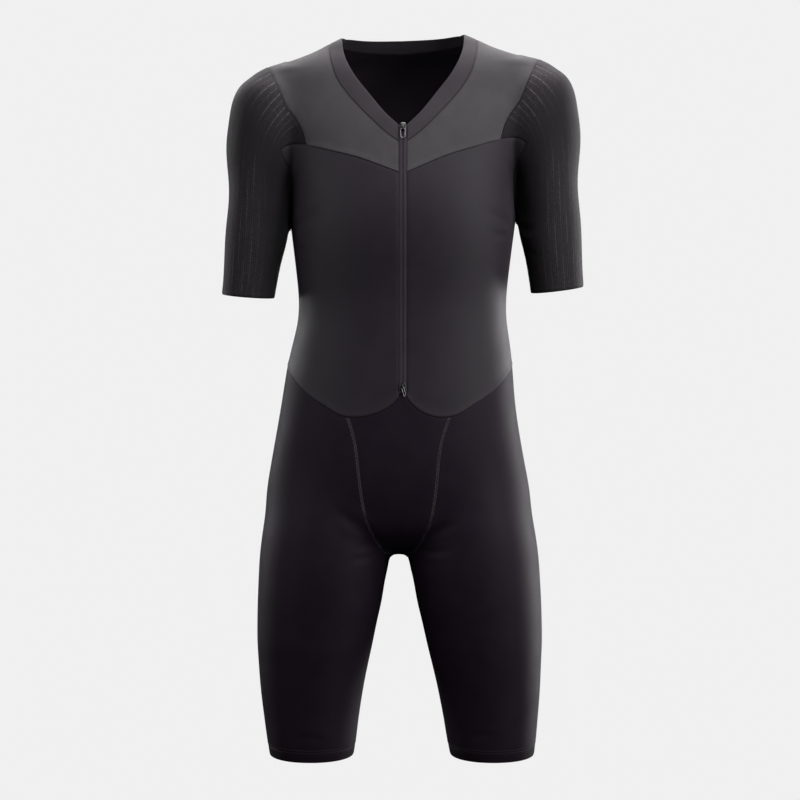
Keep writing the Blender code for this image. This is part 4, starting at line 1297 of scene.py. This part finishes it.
CREASES = (
    # from the right armpit's front, over the chest's side
    Crease(((150, -22, -262), (128, -68, -246), (104, -86, -236)), 6.5, 0.9),
    Crease(((150, -14, -274), (132, -58, -272), (116, -76, -268)), 5.0, 0.7),
    Crease(((-151, -20, -258), (-131, -64, -240), (-108, -84, -226)), 7.0, 1.0),
    Crease(((-150, -14, -280), (-136, -52, -284), (-126, -66, -290)), 5.0, 0.6),
    # behind both armpits
    Crease(((152, 30, -250), (132, 76, -236), (104, 100, -228)), 7.0, 1.2),
    Crease(((151, 26, -268), (134, 72, -266), (112, 96, -270)), 5.5, 0.9),
    Crease(((-152, 32, -246), (-136, 72, -228), (-110, 100, -214)), 6.5, 1.1),
    Crease(((-151, 26, -272), (-132, 74, -276), (-108, 98, -286)), 6.0, 0.9),
    # the hollow of the lower back
    Crease(((-92, 74, -378), (-30, 86, -384), (38, 86, -380)), 8.0, 0.8),
    Crease(((-40, 85, -404), (24, 86, -408), (86, 76, -398)), 7.0, 0.6),
    Crease(((-18, 88, -362), (30, 88, -358), (72, 80, -352)), 6.0, 0.5),
    # inner elbow side of both sleeves
    Crease(((156, -8, -262), (166, -32, -268), (182, -44, -262)), 5.0, 0.8),
    Crease(((160, -8, -288), (172, -30, -300), (190, -42, -304)), 4.5, 0.6),
    Crease(((-157, -10, -266), (-170, -34, -276), (-188, -45, -276)), 5.5, 0.8),
    Crease(((158, 22, -262), (170, 42, -270), (186, 48, -268)), 5.0, 0.8),
    Crease(((-158, 22, -260), (-168, 40, -264), (-184, 49, -258)), 5.0, 0.8),
    Crease(((-166, -18, -318), (-182, -38, -324), (-200, -42, -322)), 4.0, 0.5),
    # from the crotch and the hip's fold, outward and down
    Crease(((28, -66, -682), (52, -88, -668), (84, -90, -650)), 6.0, 0.8),
    Crease(((24, -52, -700), (50, -80, -698), (80, -92, -690)), 5.0, 0.6),
    Crease(((-30, -70, -678), (-58, -90, -658), (-92, -88, -634)), 7.0, 0.8),
    Crease(((-24, -52, -702), (-46, -76, -706), (-70, -90, -708)), 5.0, 0.5),
    Crease(((22, 62, -706), (48, 90, -692), (84, 110, -682)), 7.0, 1.1),
    Crease(((-22, 62, -706), (-50, 92, -688), (-90, 112, -672)), 7.0, 1.1),
    Crease(((26, 56, -722), (52, 86, -722), (86, 104, -716)), 6.0, 0.8),
    Crease(((-27, 58, -726), (-56, 88, -730), (-88, 102, -732)), 6.0, 0.8),
    # above the leg bands, where the grip holds the cloth
    Crease(((92, -54, -958), (112, -66, -953), (134, -66, -957)), 4.5, 0.45),
    Crease(((-104, -62, -962), (-124, -67, -956), (-148, -60, -960)), 4.5, 0.45),
    Crease(((98, 60, -955), (124, 68, -951), (150, 60, -956)), 5.0, 0.5),
    Crease(((-96, 58, -950), (-122, 68, -946), (-146, 62, -952)), 5.0, 0.5),
)

KNITS = {
    # open double knit, so its ground shows through as a warm grey
    "yoke_knit": Knit(
        "yoke_knit_warm_grey_double_knit", Stitch.PLAIN_KNIT, "#2A282A", "#3B393B", 1.5, 1.2, 0.16,
        0.86, 0.16, "#C9C4C8", 0.45, 0.12,
    ),
    # smooth warp knit with a faint violet cast, matt
    "front_knit": Knit(
        "front_knit_charcoal_warp_knit", Stitch.PLAIN_KNIT, "#100B12", "#1A141C", 1.2, 1.0, 0.10,
        0.60, 0.08, "#B9AEBD", 0.35, 0.16, seam_shade=0.8,
    ),
    # soft black ground between raised ribs
    "ribbed_knit": Knit(
        "sleeve_knit_black_with_raised_ribs", Stitch.RIB_KNIT, "#0D0A0D", "#161316", 1.3, 1.6, 0.18,
        0.82, 0.12, "#BDB8BE", 0.4, 0.10,
    ),
    # tight elastane knit: the darkest cloth, with a low sheen along the thigh
    "leg_knit": Knit(
        "leg_knit_black_elastane", Stitch.PLAIN_KNIT, "#0F0911", "#18101A", 1.1, 0.9, 0.07,
        0.58, 0.03, "#A39AA8", 0.3, 0.06,
    ),
    # firm dark-grey binding
    "band_knit": Knit(
        "band_knit_dark_grey_binding", Stitch.PLAIN_KNIT, "#1F1C20", "#2F2B2F", 1.1, 1.0, 0.10,
        0.8, 0.14, "#B5B1B3", 0.4, 0.12,
    ),
    # the leg's cloth doubled, as dark as the leg and a touch firmer
    "grip_knit": Knit(
        "leg_grip_band_black_doubled_knit", Stitch.PLAIN_KNIT, "#0B060C", "#130B14", 1.1, 0.9, 0.08,
        0.7, 0.02, "#A39AA8", 0.3, 0.05,
    ),
    # woven polyester tape, a touch smoother than the knit beside it
    "zip_tape": Knit(
        "zip_tape_black_weave", Stitch.WOVEN, "#1F1A20", "#2E2830", 0.8, 0.9, 0.08,
        0.74, 0.08, "#B0AAB2", 0.35, 0.12,
    ),
}

SMALL_FINISHES = {
    # matt grey polyester thread, just pale enough to read as a dotted line on black
    "pale_thread": SmallFinish("thread_grey_polyester", "#29252B", "#3E3A40", 0.0, 0.75),
    # thread matched to the cloth: it shows by its own small highlight
    "dark_thread": SmallFinish("thread_black_polyester", "#0B090C", "#131114", 0.0, 0.8),
    # moulded nylon, a little glossier than the tapes
    "coil": SmallFinish("zip_coil_black_nylon", "#121013", "#201D21", 0.0, 0.4),
    # satin black lacquer over cast zinc, rubbed at the edges
    "slider": SmallFinish("slider_satin_black_lacquer", "#050506", "#131214", 0.0, 0.34),
    # black nickel plating on steel wire: a mid grey, the one spark on the suit
    "pull": SmallFinish("pull_black_nickel", "#66646A", "#86848A", 1.0, 0.34),
}


@dataclass(frozen=True)
class Panel:
    """A panel of the cut: its grid, its cloth's slot and look, its trim and whether it is paired.

    Flat is the widest and the longest size that a maker cuts, and area is its area, all of metres.
    """

    rows: Callable
    columns: Callable
    slot: str
    look: str
    flat: tuple
    area: float
    trim: Trim
    paired: bool = True


PLAIN, COARSE, FINE, STRIP = Spacing(8), Spacing(6), Spacing(10), Spacing(12)

PANELS = {
    "yoke": Panel(PLAIN, PLAIN, "yoke_knit", "yoke_knit", (0.215, 0.160), 0.0172, Trim(
        {"foot": Groove(1.0, SeamPlan.yoke_steps, 0.4), "top": Groove(1.5), "start": Groove(0.5)},
        Lap(1.3, 0.7, SeamPlan.yoke_steps),
    )),
    "front": Panel(PLAIN, PLAIN, "front_knit", "front_knit", (0.175, 0.370), 0.0550, Trim(
        {"top": Groove(2.2), "end": Groove(1.6), "start": Groove(0.5)}, Lap(1.2, 0.5),
    )),
    "sleeve": Panel(COARSE, RibSpacing(), "ribbed_knit", "ribbed_knit", (0.335, 0.325), 0.0730, Trim(
        {"top": Groove(0.4), "start": Groove(1.6), "foot": Groove(0.6)}, ribbed=True,
    )),
    "leg": Panel(FINE, PLAIN, "leg_knit", "leg_knit", (0.520, 0.560), 0.2080, Trim(
        {"top": Groove(1.6), "foot": Groove(0.8)},
    )),
    "leg_band": Panel(STRIP, PLAIN, "leg_knit", "grip_knit", (0.340, 0.016), 0.0045, Trim(
        {"foot": Groove(0.3)}, seam_dip=0.2, pucker=0.04,
    )),
    "back": Panel(PLAIN, PLAIN, "front_knit", "front_knit", (0.420, 0.470), 0.1330, Trim(), False),
    "gusset": Panel(PLAIN, PLAIN, "leg_knit", "leg_knit", (0.140, 0.240), 0.0190, Trim(
        {"top": Groove(1.8)},
    ), False),
    "neckband": Panel(STRIP, PLAIN, "band_knit", "band_knit", (0.560, 0.025), 0.0108, Trim(
        {"top": Groove(0.3), "foot": Groove(1.2)}, seam_dip=0.2, pucker=0.04,
    ), False),
}


@dataclass
class Suit:
    """The whole suit: panels from the seam plan, on the body `suit`."""

    plan: SeamPlan
    weaver: Weaver
    cloth: Cloth

    def dress(self, materials: dict[str, Material]) -> None:
        for name, patches in self.plan.patches().items():
            panel = PANELS[name]
            surface = self.weaver.surface(patches, panel.rows, panel.columns)
            sides = {name: surface}
            if panel.paired:
                sides = {f"{name}_right": surface, f"{name}_left": surface.mirrored()}
            for node, side in sides.items():
                piece = self.cloth.shell(f"cloth_{node}", side, materials[panel.look], panel.trim)
                made = piece.fit("suit", panel.slot, node)


@dataclass(frozen=True)
class Thread:
    """Short rounded lengths of thread, all in one mesh. A ring is a share of the run and of the radius."""

    radius: float = 0.24
    sides: int = 5
    rings: tuple = ((0.0, 0.45), (0.22, 1.0), (0.78, 1.0), (1.0, 0.45))

    def lengths(self, starts: Array, ends: Array, outward: Array) -> tuple[Array, Array]:
        """The points and triangles of one short thread for each start and end.

        A thread is four rings of points along its run, the end ones smaller, with both ends closed.
        """
        run = unit(ends - starts)
        side = unit(np.cross(outward, run))
        up = np.cross(run, side)
        turn = np.linspace(0, TURN, self.sides, endpoint=False)[:, None]
        share, wide = np.array(self.rings).T[:, None, :, None, None]
        middle = starts[:, None, None] * (1 - share) + ends[:, None, None] * share
        spoke = np.cos(turn) * side[:, None, None] + np.sin(turn) * up[:, None, None]
        points = (middle + wide * self.radius * spoke).reshape(-1, 3)
        one = np.arange(len(self.rings) * self.sides).reshape(-1, self.sides)
        fan = np.array([(0, k + 1, k) for k in range(1, self.sides - 1)])
        faces = np.concatenate([wall(one[:-1], one[1:]), one[0][fan], one[-1][fan[:, (0, 2, 1)]]])
        first = np.arange(len(starts)) * one.size
        return points, (faces[None] + first[:, None, None]).reshape(-1, 3)


class Row(Enum):
    """How a seam is sewn, as its rows' half distance and a stitch's length in mm. Flatlock also zigzags."""

    LOCK = (0.0, 3.0)
    TWIN = (1.6, 3.0)
    FLATLOCK = (1.5, 2.9)


@dataclass(frozen=True)
class SeamSewing:
    """Where some seams' stitches run: how far beside the seams, in which thread, and along which part."""

    seams: tuple
    row: Row
    offset: float = 0.0
    pale: bool = False
    part: tuple = (0.0, 1.0)


SEWING = {
    "gusset": (
        # one thread: drawn pale on the upper part, and dark on the lower part as painted shade where the seam
        # turns under towards the crotch
        SeamSewing(("gusset",), Row.FLATLOCK, pale=True, part=(0.01, 0.46)),
        SeamSewing(("gusset",), Row.FLATLOCK, part=(0.46, 0.98)),
    ),
    "waist": (
        SeamSewing(("waist_front", "waist_side"), Row.LOCK, 2.6),
        SeamSewing(("waist_back",), Row.TWIN),
    ),
    "legs": (
        SeamSewing(("back_rise",), Row.FLATLOCK),
        SeamSewing(("inseam",), Row.FLATLOCK, part=(0.03, 1.0)),
        SeamSewing(("knee",), Row.TWIN, 2.4),
    ),
    "sides": (
        SeamSewing(("side",), Row.FLATLOCK),
        SeamSewing(("underarm",), Row.FLATLOCK),
        SeamSewing(("cap_back", "armhole_back"), Row.LOCK, -2.2),
        SeamSewing(("sleeve_hem",), Row.LOCK, 5.5),
    ),
    "yoke": (
        SeamSewing(("yoke_front",), Row.LOCK, 2.4),
        SeamSewing(("cap_front",), Row.LOCK, 2.2),
        SeamSewing(("shoulder",), Row.TWIN),
    ),
    "neck": (
        SeamSewing(("band_front", "band_back"), Row.LOCK, 2.4, part=(0.008, 1.0)),
        SeamSewing(("band_front", "band_back"), Row.LOCK, -2.0, part=(0.012, 1.0)),
    ),
}


@dataclass
class Sewing:
    """Lays the rows of stitches on the cloth, on both sides of the body."""

    plan: SeamPlan
    relief: Relief
    pose: WornPose
    thread: Thread = Thread()
    line_points: int = 240
    gap: float = 0.12
    sunk: float = 0.35

    def _needle(self, line: Array, offset: Array, step: float) -> Array:
        """Places beside a seam, evenly spaced along it and lifted onto the cloth."""
        figure = self.plan.figure
        count = max(int(run_of(line)[-1] / step), 2)
        places = along(line, np.linspace(0, 1, count + 1))
        outward = figure.outward(places)
        side = unit(np.cross(outward, unit(np.gradient(places, axis=0))))
        offset = np.resize(offset, count + 1)
        places = figure.onto(places + side * offset[:, None], 2)
        height = self.relief.height(places, np.abs(offset), Trim.seam_dip, Trim.pucker)
        return places + outward * (height + self.thread.radius * self.sunk)[:, None]

    def _rows(self, sewing: SeamSewing) -> list[tuple[Array, Array]]:
        """The starts and ends of one seam's stitches."""
        line = np.concatenate([self.plan.seams[name].line for name in sewing.seams])
        moves = np.linalg.norm(np.diff(line, axis=0), axis=1) > 1e-6
        line = along(line[np.append(True, moves)], np.linspace(*sewing.part, self.line_points))
        half, step = sewing.row.value
        rows = []
        if sewing.row is Row.FLATLOCK:
            zigzag = self._needle(line, sewing.offset + half * np.array((1.0, -1.0)), step)
            rows.append((zigzag[:-1], zigzag[1:]))
        for side in (1.0, -1.0) if half else (1.0,):
            needle = self._needle(line, np.array((sewing.offset + side * half,)), step)
            gap = self.gap * np.diff(needle, axis=0)
            rows.append((needle[:-1] + gap, needle[1:] - gap))
        return rows

    def sew(self, pale: Material, dark: Material) -> None:
        """Makes one piece of thread for each group of seams, side and shade."""
        for group, seams in SEWING.items():
            for side in ("right", "left"):
                for shade, material in (("pale", pale), ("dark", dark)):
                    shaded = [seam for seam in seams if seam.pale is (shade == "pale")]
                    rows = [row for seam in shaded for row in self._rows(seam)]
                    if rows:
                        self._piece(f"sewing_{group}_{shade}_{side}", rows, side == "left", material)

    def _piece(self, name: str, rows: list, turned: bool, material: Material) -> None:
        """One mesh of thread."""
        starts, ends = (np.concatenate(places) for places in zip(*rows))
        if turned:
            starts, ends = mirrored(starts), mirrored(ends)
        outward = self.plan.figure.outward((starts + ends) / 2)
        points, faces = self.thread.lengths(self.pose(starts), self.pose(ends), outward)
        Piece(name, points, faces, material).fit("suit", "zip_tape")


@dataclass
class ZipFrame:
    """A place on the zip: its point, and the directions down along it and out from it."""

    figure: Figure
    pose: WornPose
    height: float

    def __post_init__(self) -> None:
        """Finds the place on the figure and the directions there."""
        self.at = self.figure.onto([[0.0, ZIP_DEPTH, self.height]], 20, STRAIGHT_BACK)[0]
        self.out = unit(self.figure.outward(self.at) * (0.0, 1.0, 1.0))
        self.down = np.array([0.0, -self.out[2], self.out[1]])

    def __call__(self, points: Array) -> Array:
        """Points given as across, down and out, placed on the posed suit."""
        across, down, out = (points[..., c, None] for c in range(3))
        return self.pose(self.at + across * ACROSS + down * self.down + out * self.out)


def wall(low: Array, high: Array) -> Array:
    """Triangles between closed rings of point numbers and the next rings."""
    after_low, after_high = np.roll(low, -1, 1), np.roll(high, -1, 1)
    faces = [np.stack([low, after_low, after_high], -1), np.stack([low, after_high, high], -1)]
    return np.concatenate(faces).reshape(-1, 3)


def lofted(rings: Array, closed_ends: bool = True) -> tuple[Array, Array]:
    """Triangles through a stack of closed rings, with a fan over each end.

    Args:
        rings: points as rings x points of a ring x 3.
        closed_ends: False joins the last ring to the first.

    Returns:
        The points and the triangles.
    """
    rows, sides = rings.shape[:2]
    grid = np.arange(rows * sides).reshape(rows, sides)
    points = rings.reshape(-1, 3)
    if not closed_ends:
        return points, wall(grid, np.roll(grid, -1, 0))
    points = np.concatenate([points, rings[:1].mean(1), rings[-1:].mean(1)])
    first, last = np.full(sides, rows * sides), np.full(sides, rows * sides + 1)
    fans = [
        np.stack([np.roll(grid[0], -1), grid[0], first], -1),
        np.stack([grid[-1], np.roll(grid[-1], -1), last], -1),
    ]
    return points, np.concatenate([wall(grid[:-1], grid[1:]), *fans])


def rounded_plate(outline: Sequence, low: float, high: float, crown: float) -> tuple[Array, Array]:
    """A plate with a smooth outline, rounded rims and a slightly crowned face.

    Its rings shrink towards the outline's middle: round the lower rim, up the side, round the upper rim, and
    over the face, so its levels and insets are a section of the plate.

    Args:
        outline: a few places of the outline as across and down.
        low: the level of its underside.
        high: the level of its face at the rim.
        crown: how much higher the middle of the face is.

    Returns:
        Points as across, down and out, and triangles.
    """
    rim = 0.35
    ring = along(np.array([*outline, outline[0]], float), np.linspace(0, 1, 49)[:-1])
    for _ in range(3):
        ring = (np.roll(ring, 1, 0) + 2 * ring + np.roll(ring, -1, 0)) / 4
    middle = ring.mean(0)
    reach = np.linalg.norm(ring - middle, axis=1).max()
    section = (
        (rim, low), (rim * 0.3, low + rim * 0.3), (0.0, low + rim), (0.0, high - rim),
        (rim * 0.3, high - rim * 0.3), (rim, high), (reach * 0.45, high + crown),
    )
    rings = [
        np.column_stack([middle + (ring - middle) * (1 - inset / reach), np.full(len(ring), level)])
        for inset, level in section
    ]
    return lofted(np.stack(rings))


def bent_bar(path: Array, wide: float, thick: float) -> tuple[Array, Array]:
    """A bar of rounded, nearly square section along an open path.

    Args:
        path: points of the path, as across, down and out.
        wide: the section's half size across.
        thick: the section's half size square to it.

    Returns:
        Points and triangles.
    """
    turn = np.linspace(0, TURN, 16, endpoint=False)
    cos, sin = (np.sign(v) * np.abs(v) ** (2 / 3) for v in (np.cos(turn), np.sin(turn)))
    up = unit(np.cross(unit(np.gradient(path, axis=0)), ACROSS))
    rings = path[:, None] + cos[None, :, None] * wide * ACROSS + sin[None, :, None] * thick * up[:, None]
    return lofted(rings)


def merged(parts: Sequence[tuple[Array, Array]]) -> tuple[Array, Array]:
    """Some meshes as one."""
    points = [part[0] for part in parts]
    starts = np.cumsum([0, *(len(some) for some in points[:-1])])
    return np.concatenate(points), np.concatenate([part[1] + start for part, start in zip(parts, starts)])


SHIELD = (
    (-2.4, -5.6), (-3.8, -4.7), (-4.4, -3.0), (-4.2, 0.5), (-3.6, 3.8), (-2.4, 5.4),
    (2.4, 5.4), (3.6, 3.8), (4.2, 0.5), (4.4, -3.0), (3.8, -4.7), (2.4, -5.6),
)


@dataclass(frozen=True)
class Slider:
    """A cast slider: two plates, the post between them and the bridge that holds the pull.

    The bridge is its half width, its upper and lower end, and the levels of its underside and its top.
    """

    name: str
    flip: float
    bridge: tuple
    front: tuple = (0.15, 1.6, 0.105)
    back: tuple = (-2.7, -1.45, 0.0)
    post: float = -4.3
    post_size: tuple = (0.85, 0.65)

    def build(self, place: ZipFrame, material: Material) -> None:
        """Makes the slider in the place of its CAD node."""
        outline = [(x, down * self.flip) for x, down in SHIELD]
        half, top, foot, under, high = self.bridge
        bar = (high - under) / 2
        # up from the front plate, round a corner, down along the top, round a corner, back into the plate
        side = ((0, 1.2), (0, under - 0.6), (0.4, under + bar * 0.6), (1.2, under + bar))
        arch = [(0, top + bar + inset, level) for inset, level in side]
        arch += [(0, foot - bar - inset, level) for inset, level in side[::-1]]
        arch = along(np.array(arch), np.linspace(0, 1, 26))
        arch[1:-1] = (arch[:-2] + 2 * arch[1:-1] + arch[2:]) / 4
        post = np.array([(0.0, self.post * self.flip, level) for level in (-2.0, -0.9, 0.2, 1.0)])
        points, faces = merged([
            rounded_plate(outline, *self.front),
            rounded_plate(outline, *self.back),
            bent_bar(post, *self.post_size),
            bent_bar(arch, half, bar),
        ])
        Piece(f"metal_{self.name}", place(points), faces, material).fit("suit", "coated_metal", self.name)


@dataclass(frozen=True)
class Pull:
    """A closed loop of smooth wire hanging from its hinge: a bar, two sides and a round foot."""

    name: str
    body: str
    bar: float
    level: float
    half_top: float
    half_foot: float
    length: float
    wire: float
    swing: float
    nose: float = 0.35

    def build(self, place: ZipFrame, material: Material) -> None:
        """Makes the loop in the place of its CAD node."""
        nose = self.nose * self.half_top
        turn = np.linspace(0, np.pi, 25)
        corner = np.linspace(0, np.pi / 2, 7)
        right = np.stack([self.half_top - nose + nose * np.sin(corner), nose - nose * np.cos(corner)], 1)
        foot = np.stack([self.half_foot * np.cos(turn), self.length - self.half_foot * (1 - np.sin(turn))], 1)
        closed = np.concatenate([right, foot, right[::-1] * (-1, 1), right[:1]])
        line = along(closed, np.linspace(0, 1, 73)[:-1])
        tangent = unit(np.roll(line, -1, 0) - np.roll(line, 1, 0))
        side = np.stack([tangent[:, 1], -tangent[:, 0]], 1)
        around = np.linspace(0, TURN, 12, endpoint=False)
        flat = line[:, None] + self.wire / 2 * np.cos(around)[:, None] * side[:, None]
        out = np.broadcast_to(self.level + self.wire / 2 * np.sin(around), flat.shape[:2])
        angle = np.radians(self.swing)
        across = flat[..., 0] * np.cos(angle) + flat[..., 1] * np.sin(angle)
        down = self.bar - flat[..., 0] * np.sin(angle) + flat[..., 1] * np.cos(angle)
        points, faces = lofted(np.stack([across, down, out], -1), closed_ends=False)
        Piece(f"metal_{self.name}", place(points), faces, material).fit(self.body, "bare_metal", self.name)


# each slider with its pull and its height on the zip
SLIDERS = (
    (-122.6, Slider("slider_top", 1.0, (0.9, -2.0, 5.2, 3.4, 4.3)),
     Pull("pull_top", "top_pull", 3.4, 2.5, 3.0, 2.9, 12.4, 1.1, 0.0)),
    (-470.0, Slider("slider_bottom", -1.0, (0.6, -3.6, 3.4, 3.2, 4.0)),
     Pull("pull_bottom", "bottom_pull", 1.7, 2.4, 1.7, 1.1, 11.2, 0.9, 15.0)),
)


@dataclass
class Zip:
    """The tapes with their rolled welts, the coil behind them, the sliders and the pulls."""

    plan: SeamPlan
    pose: WornPose
    cloth: Cloth
    inner_ends: tuple = (-121.0, -479.3)
    outer_ends: tuple = (-120.0, -481.6)
    posts: tuple = (-127.0, -466.0)  # the slit is open as far as the sliders' posts
    slits: tuple = (1.5, 0.12)  # its half width there, and between them
    post_fade: float = 7.0
    clear: float = 0.25
    welt: tuple = (0.2, 0.35, 0.28, 0.1)  # a tape's height at its crown, its place and width, less its sink
    teeth: tuple = (-128.6, -464.0)
    tooth_step: float = 1.3
    tooth: tuple = (0.35, 1.9, 0.35)  # how far a tooth crosses the middle, how far it reaches and rises
    cord: float = 1.5
    behind: float = 2.0
    coil: Thread = Thread(radius=0.45)

    def build(self, materials: dict[str, Material]) -> None:
        """Makes every part of the zip."""
        self._tapes(materials["zip_tape"])
        self._coil(materials["coil"])
        for height, slider, pull in SLIDERS:
            place = ZipFrame(self.plan.figure, self.pose, height)
            slider.build(place, materials["slider"])
            pull.build(place, materials["pull"])

    def _tapes(self, material: Material) -> None:
        """Two tapes, each with a flat outer part and a rounded welt along the slit."""
        figure = self.plan.figure
        share = np.linspace(0, 1, 150)
        inner_z, outer_z = (top + (foot - top) * share for top, foot in (self.inner_ends, self.outer_ends))
        wide, narrow = self.slits
        top, foot = self.posts
        slit = wide + (narrow - wide) * eased(-inner_z, -top - 3.0, -top - 3.0 + self.post_fade)
        slit = slit + (wide - narrow) * eased(-inner_z, -foot - 4.0, -foot - 4.0 + self.post_fade)
        across = np.concatenate([[0.0, 0.02, 0.06], np.linspace(0.12, 0.88, 11), [0.94, 0.98, 1.0]])
        x = slit[:, None] * (1 - across) + (self.plan.zip_half - self.clear) * across
        z = inner_z[:, None] * (1 - across) + outer_z[:, None] * across
        points = figure.onto(np.stack([x, np.full(x.shape, ZIP_DEPTH), z], -1), 14, STRAIGHT_BACK)
        normals = figure.outward(points)
        crown, place, width, sink = self.welt
        points = points + normals * (crown * bell(across - place, width) - sink)[:, None]
        surface = Surface(points, normals, share, across)
        for node, side in (("zip_tape_right", surface), ("zip_tape_left", surface.mirrored())):
            trim = Trim(seam_dip=0.0, pucker=0.03)
            self.cloth.shell(f"cloth_{node}", side, material, trim).fit("suit", "zip_tape", node)

    def _coil(self, material: Material) -> None:
        """The coil's turns as short rods across, and the cord along each row that holds them."""
        heights = np.arange(*self.teeth, -self.tooth_step)
        middle = np.stack([np.zeros(len(heights)), np.full(len(heights), ZIP_DEPTH), heights], 1)
        middle = self.plan.figure.onto(middle, 14, STRAIGHT_BACK)
        outward = self.plan.figure.outward(middle)
        middle = middle - outward * self.behind
        root, tip, rise = self.tooth
        starts, ends = [], []
        for sign, lowered in ((1.0, 0.0), (-1.0, self.tooth_step / 2)):
            row = middle - (0.0, 0.0, lowered)
            spine = middle + (sign * self.cord, 0, 0)
            starts += [row - (sign * root, 0, 0), spine[:-1]]
            ends += [row + (sign * tip, 0, rise), spine[1:]]
        starts, ends = self.pose(np.concatenate(starts)), self.pose(np.concatenate(ends))
        points, faces = self.coil.lengths(starts, ends, np.broadcast_to(outward[0], starts.shape))
        Piece("nylon_zip_coil", points, faces, material).fit("suit", "zip_tape", "zip_chain")


def turned_to(place: Vector, aim: tuple) -> tuple:
    """The turn that points a lamp or a camera at the aim, given in mm, from its place in metres."""
    return (Vector(aim) * MM - place).to_track_quat("-Z", "Y").to_euler()


@dataclass(frozen=True)
class SoftBox:
    """A rectangular soft light: its place in mm, its width and height in metres, and its watts."""

    name: str
    place: tuple
    size: tuple
    power: float

    def build(self, aim: tuple) -> None:
        """Makes the light, turned to the aim."""
        data = bpy.data.lights.new(self.name, "AREA")
        data.shape = "RECTANGLE"
        data.size, data.size_y = self.size
        data.energy = self.power
        light = bpy.data.objects.new(self.name, data)
        light.location = Vector(self.place) * MM
        light.rotation_euler = turned_to(light.location, aim)
        bpy.context.scene.collection.objects.link(light)


SOFT_BOXES = (
    # behind both sides, for the pale rims
    SoftBox("rim_left", (-1900, 1300, 100), (0.6, 1.8), 48.0),
    SoftBox("rim_right", (1900, 1300, -500), (0.6, 1.8), 72.0),
    # at the sides and the front sides, for the shades that turn from the edge to the dark middle
    SoftBox("side_left", (-2500, -700, 0), (1.2, 2.4), 26.0),
    SoftBox("side_right", (2500, -700, 0), (1.2, 2.4), 46.0),
    SoftBox("key_left", (-2200, -1800, 400), (0.8, 1.6), 36.0),
    SoftBox("key_right", (2200, -1800, 400), (0.8, 1.6), 84.0),
    # above, for the yoke and the shoulders
    SoftBox("overhead", (600, -900, 1900), (1.2, 1.0), 115.0),
    SoftBox("crown", (300, 900, 1900), (1.2, 0.8), 105.0),
    # wide and high behind, so that the back reads as well
    SoftBox("back_fill", (0, 2500, 2300), (2.6, 2.2), 75.0),
)


@dataclass
class Studio:
    """A pale floor and soft lights round a camera placed as the photographer's was."""

    distance: float = 3600.0
    elevation: float = 5.5
    aim: tuple = (-2.8, 0.0, -497.0)
    lens: float = 117.4
    floor: float = -1530.0  # where the wearer's feet would be, below the photo's edge
    floor_half: float = 1500.0
    backdrop: str = "#F0F0F0"
    floor_shade: str = "#858585"

    def build(self) -> None:
        """Sets the camera, the world, the floor and the lights."""
        scene = bpy.context.scene
        scene.view_settings.view_transform = "Standard"
        self._camera(scene)
        self._world(scene)
        self._floor()
        for box in SOFT_BOXES:
            box.build(self.aim)

    def _camera(self, scene: bpy.types.Scene) -> None:
        """The camera stands level with the chest and looks a little down at the suit's middle."""
        lens = bpy.data.cameras.new("camera")
        lens.lens, lens.sensor_width, lens.clip_end = self.lens, 36.0, 50.0
        camera = bpy.data.objects.new("camera", lens)
        angle = np.radians(self.elevation)
        offset = np.array((0.0, -np.cos(angle), np.sin(angle))) * self.distance
        camera.location = Vector((np.array(self.aim) + offset) * MM)
        camera.rotation_euler = turned_to(camera.location, self.aim)
        scene.collection.objects.link(camera)
        scene.camera = camera

    def _world(self, scene: bpy.types.Scene) -> None:
        """A plain pale room."""
        world = bpy.data.worlds.new("pale_room")
        world.use_nodes = True
        ground = world.node_tree.nodes["Background"]
        ground.inputs["Color"].default_value = linear(self.backdrop)
        ground.inputs["Strength"].default_value = 1.0
        # the room is only seen: the soft boxes alone light the suit, so that the black cloth shows its form
        world.cycles_visibility.diffuse = False
        world.cycles_visibility.glossy = False
        scene.world = world

    def _floor(self) -> None:
        """A pale floor under the suit."""
        corners = np.array([(-1, -1), (1, -1), (1, 1), (-1, 1)]) * self.floor_half
        points = np.column_stack([corners, np.full(len(corners), self.floor)])
        recipe = Recipe("studio_floor_pale_matt")
        material = recipe.finish({"Base Color": linear(self.floor_shade), "Roughness": 0.9})
        floor = Piece("studio_floor", points, np.array([[0, 1, 2, 3]]), material).build()
        # it lights nothing, as the photo's dark legs show
        floor.visible_diffuse = False
        floor.visible_glossy = False
        floor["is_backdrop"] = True


def corners(low: Vector, high: Vector) -> list[list[float]]:
    """A box's two corners as plain lists."""
    return [list(low), list(high)]


def main() -> None:
    """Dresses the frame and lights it."""
    logging.basicConfig(level=logging.INFO, format="%(message)s")
    log.info("dressing %d nodes", len(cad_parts))
    figure, pose = Figure(), WornPose()
    plan, relief = SeamPlan(figure), Relief(figure, CREASES)
    cloth = Cloth(relief, pose)
    materials = {use: finish.material() for use, finish in (KNITS | SMALL_FINISHES).items()}
    Suit(plan, Weaver(figure), cloth).dress(materials)
    Sewing(plan, relief, pose).sew(materials["pale_thread"], materials["dark_thread"])
    Zip(plan, pose, cloth).build(materials)
    Studio().build()
    corners(CAD_LOW, CAD_HIGH)
    corners(*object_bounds())


if __name__ == "__main__":
    main()
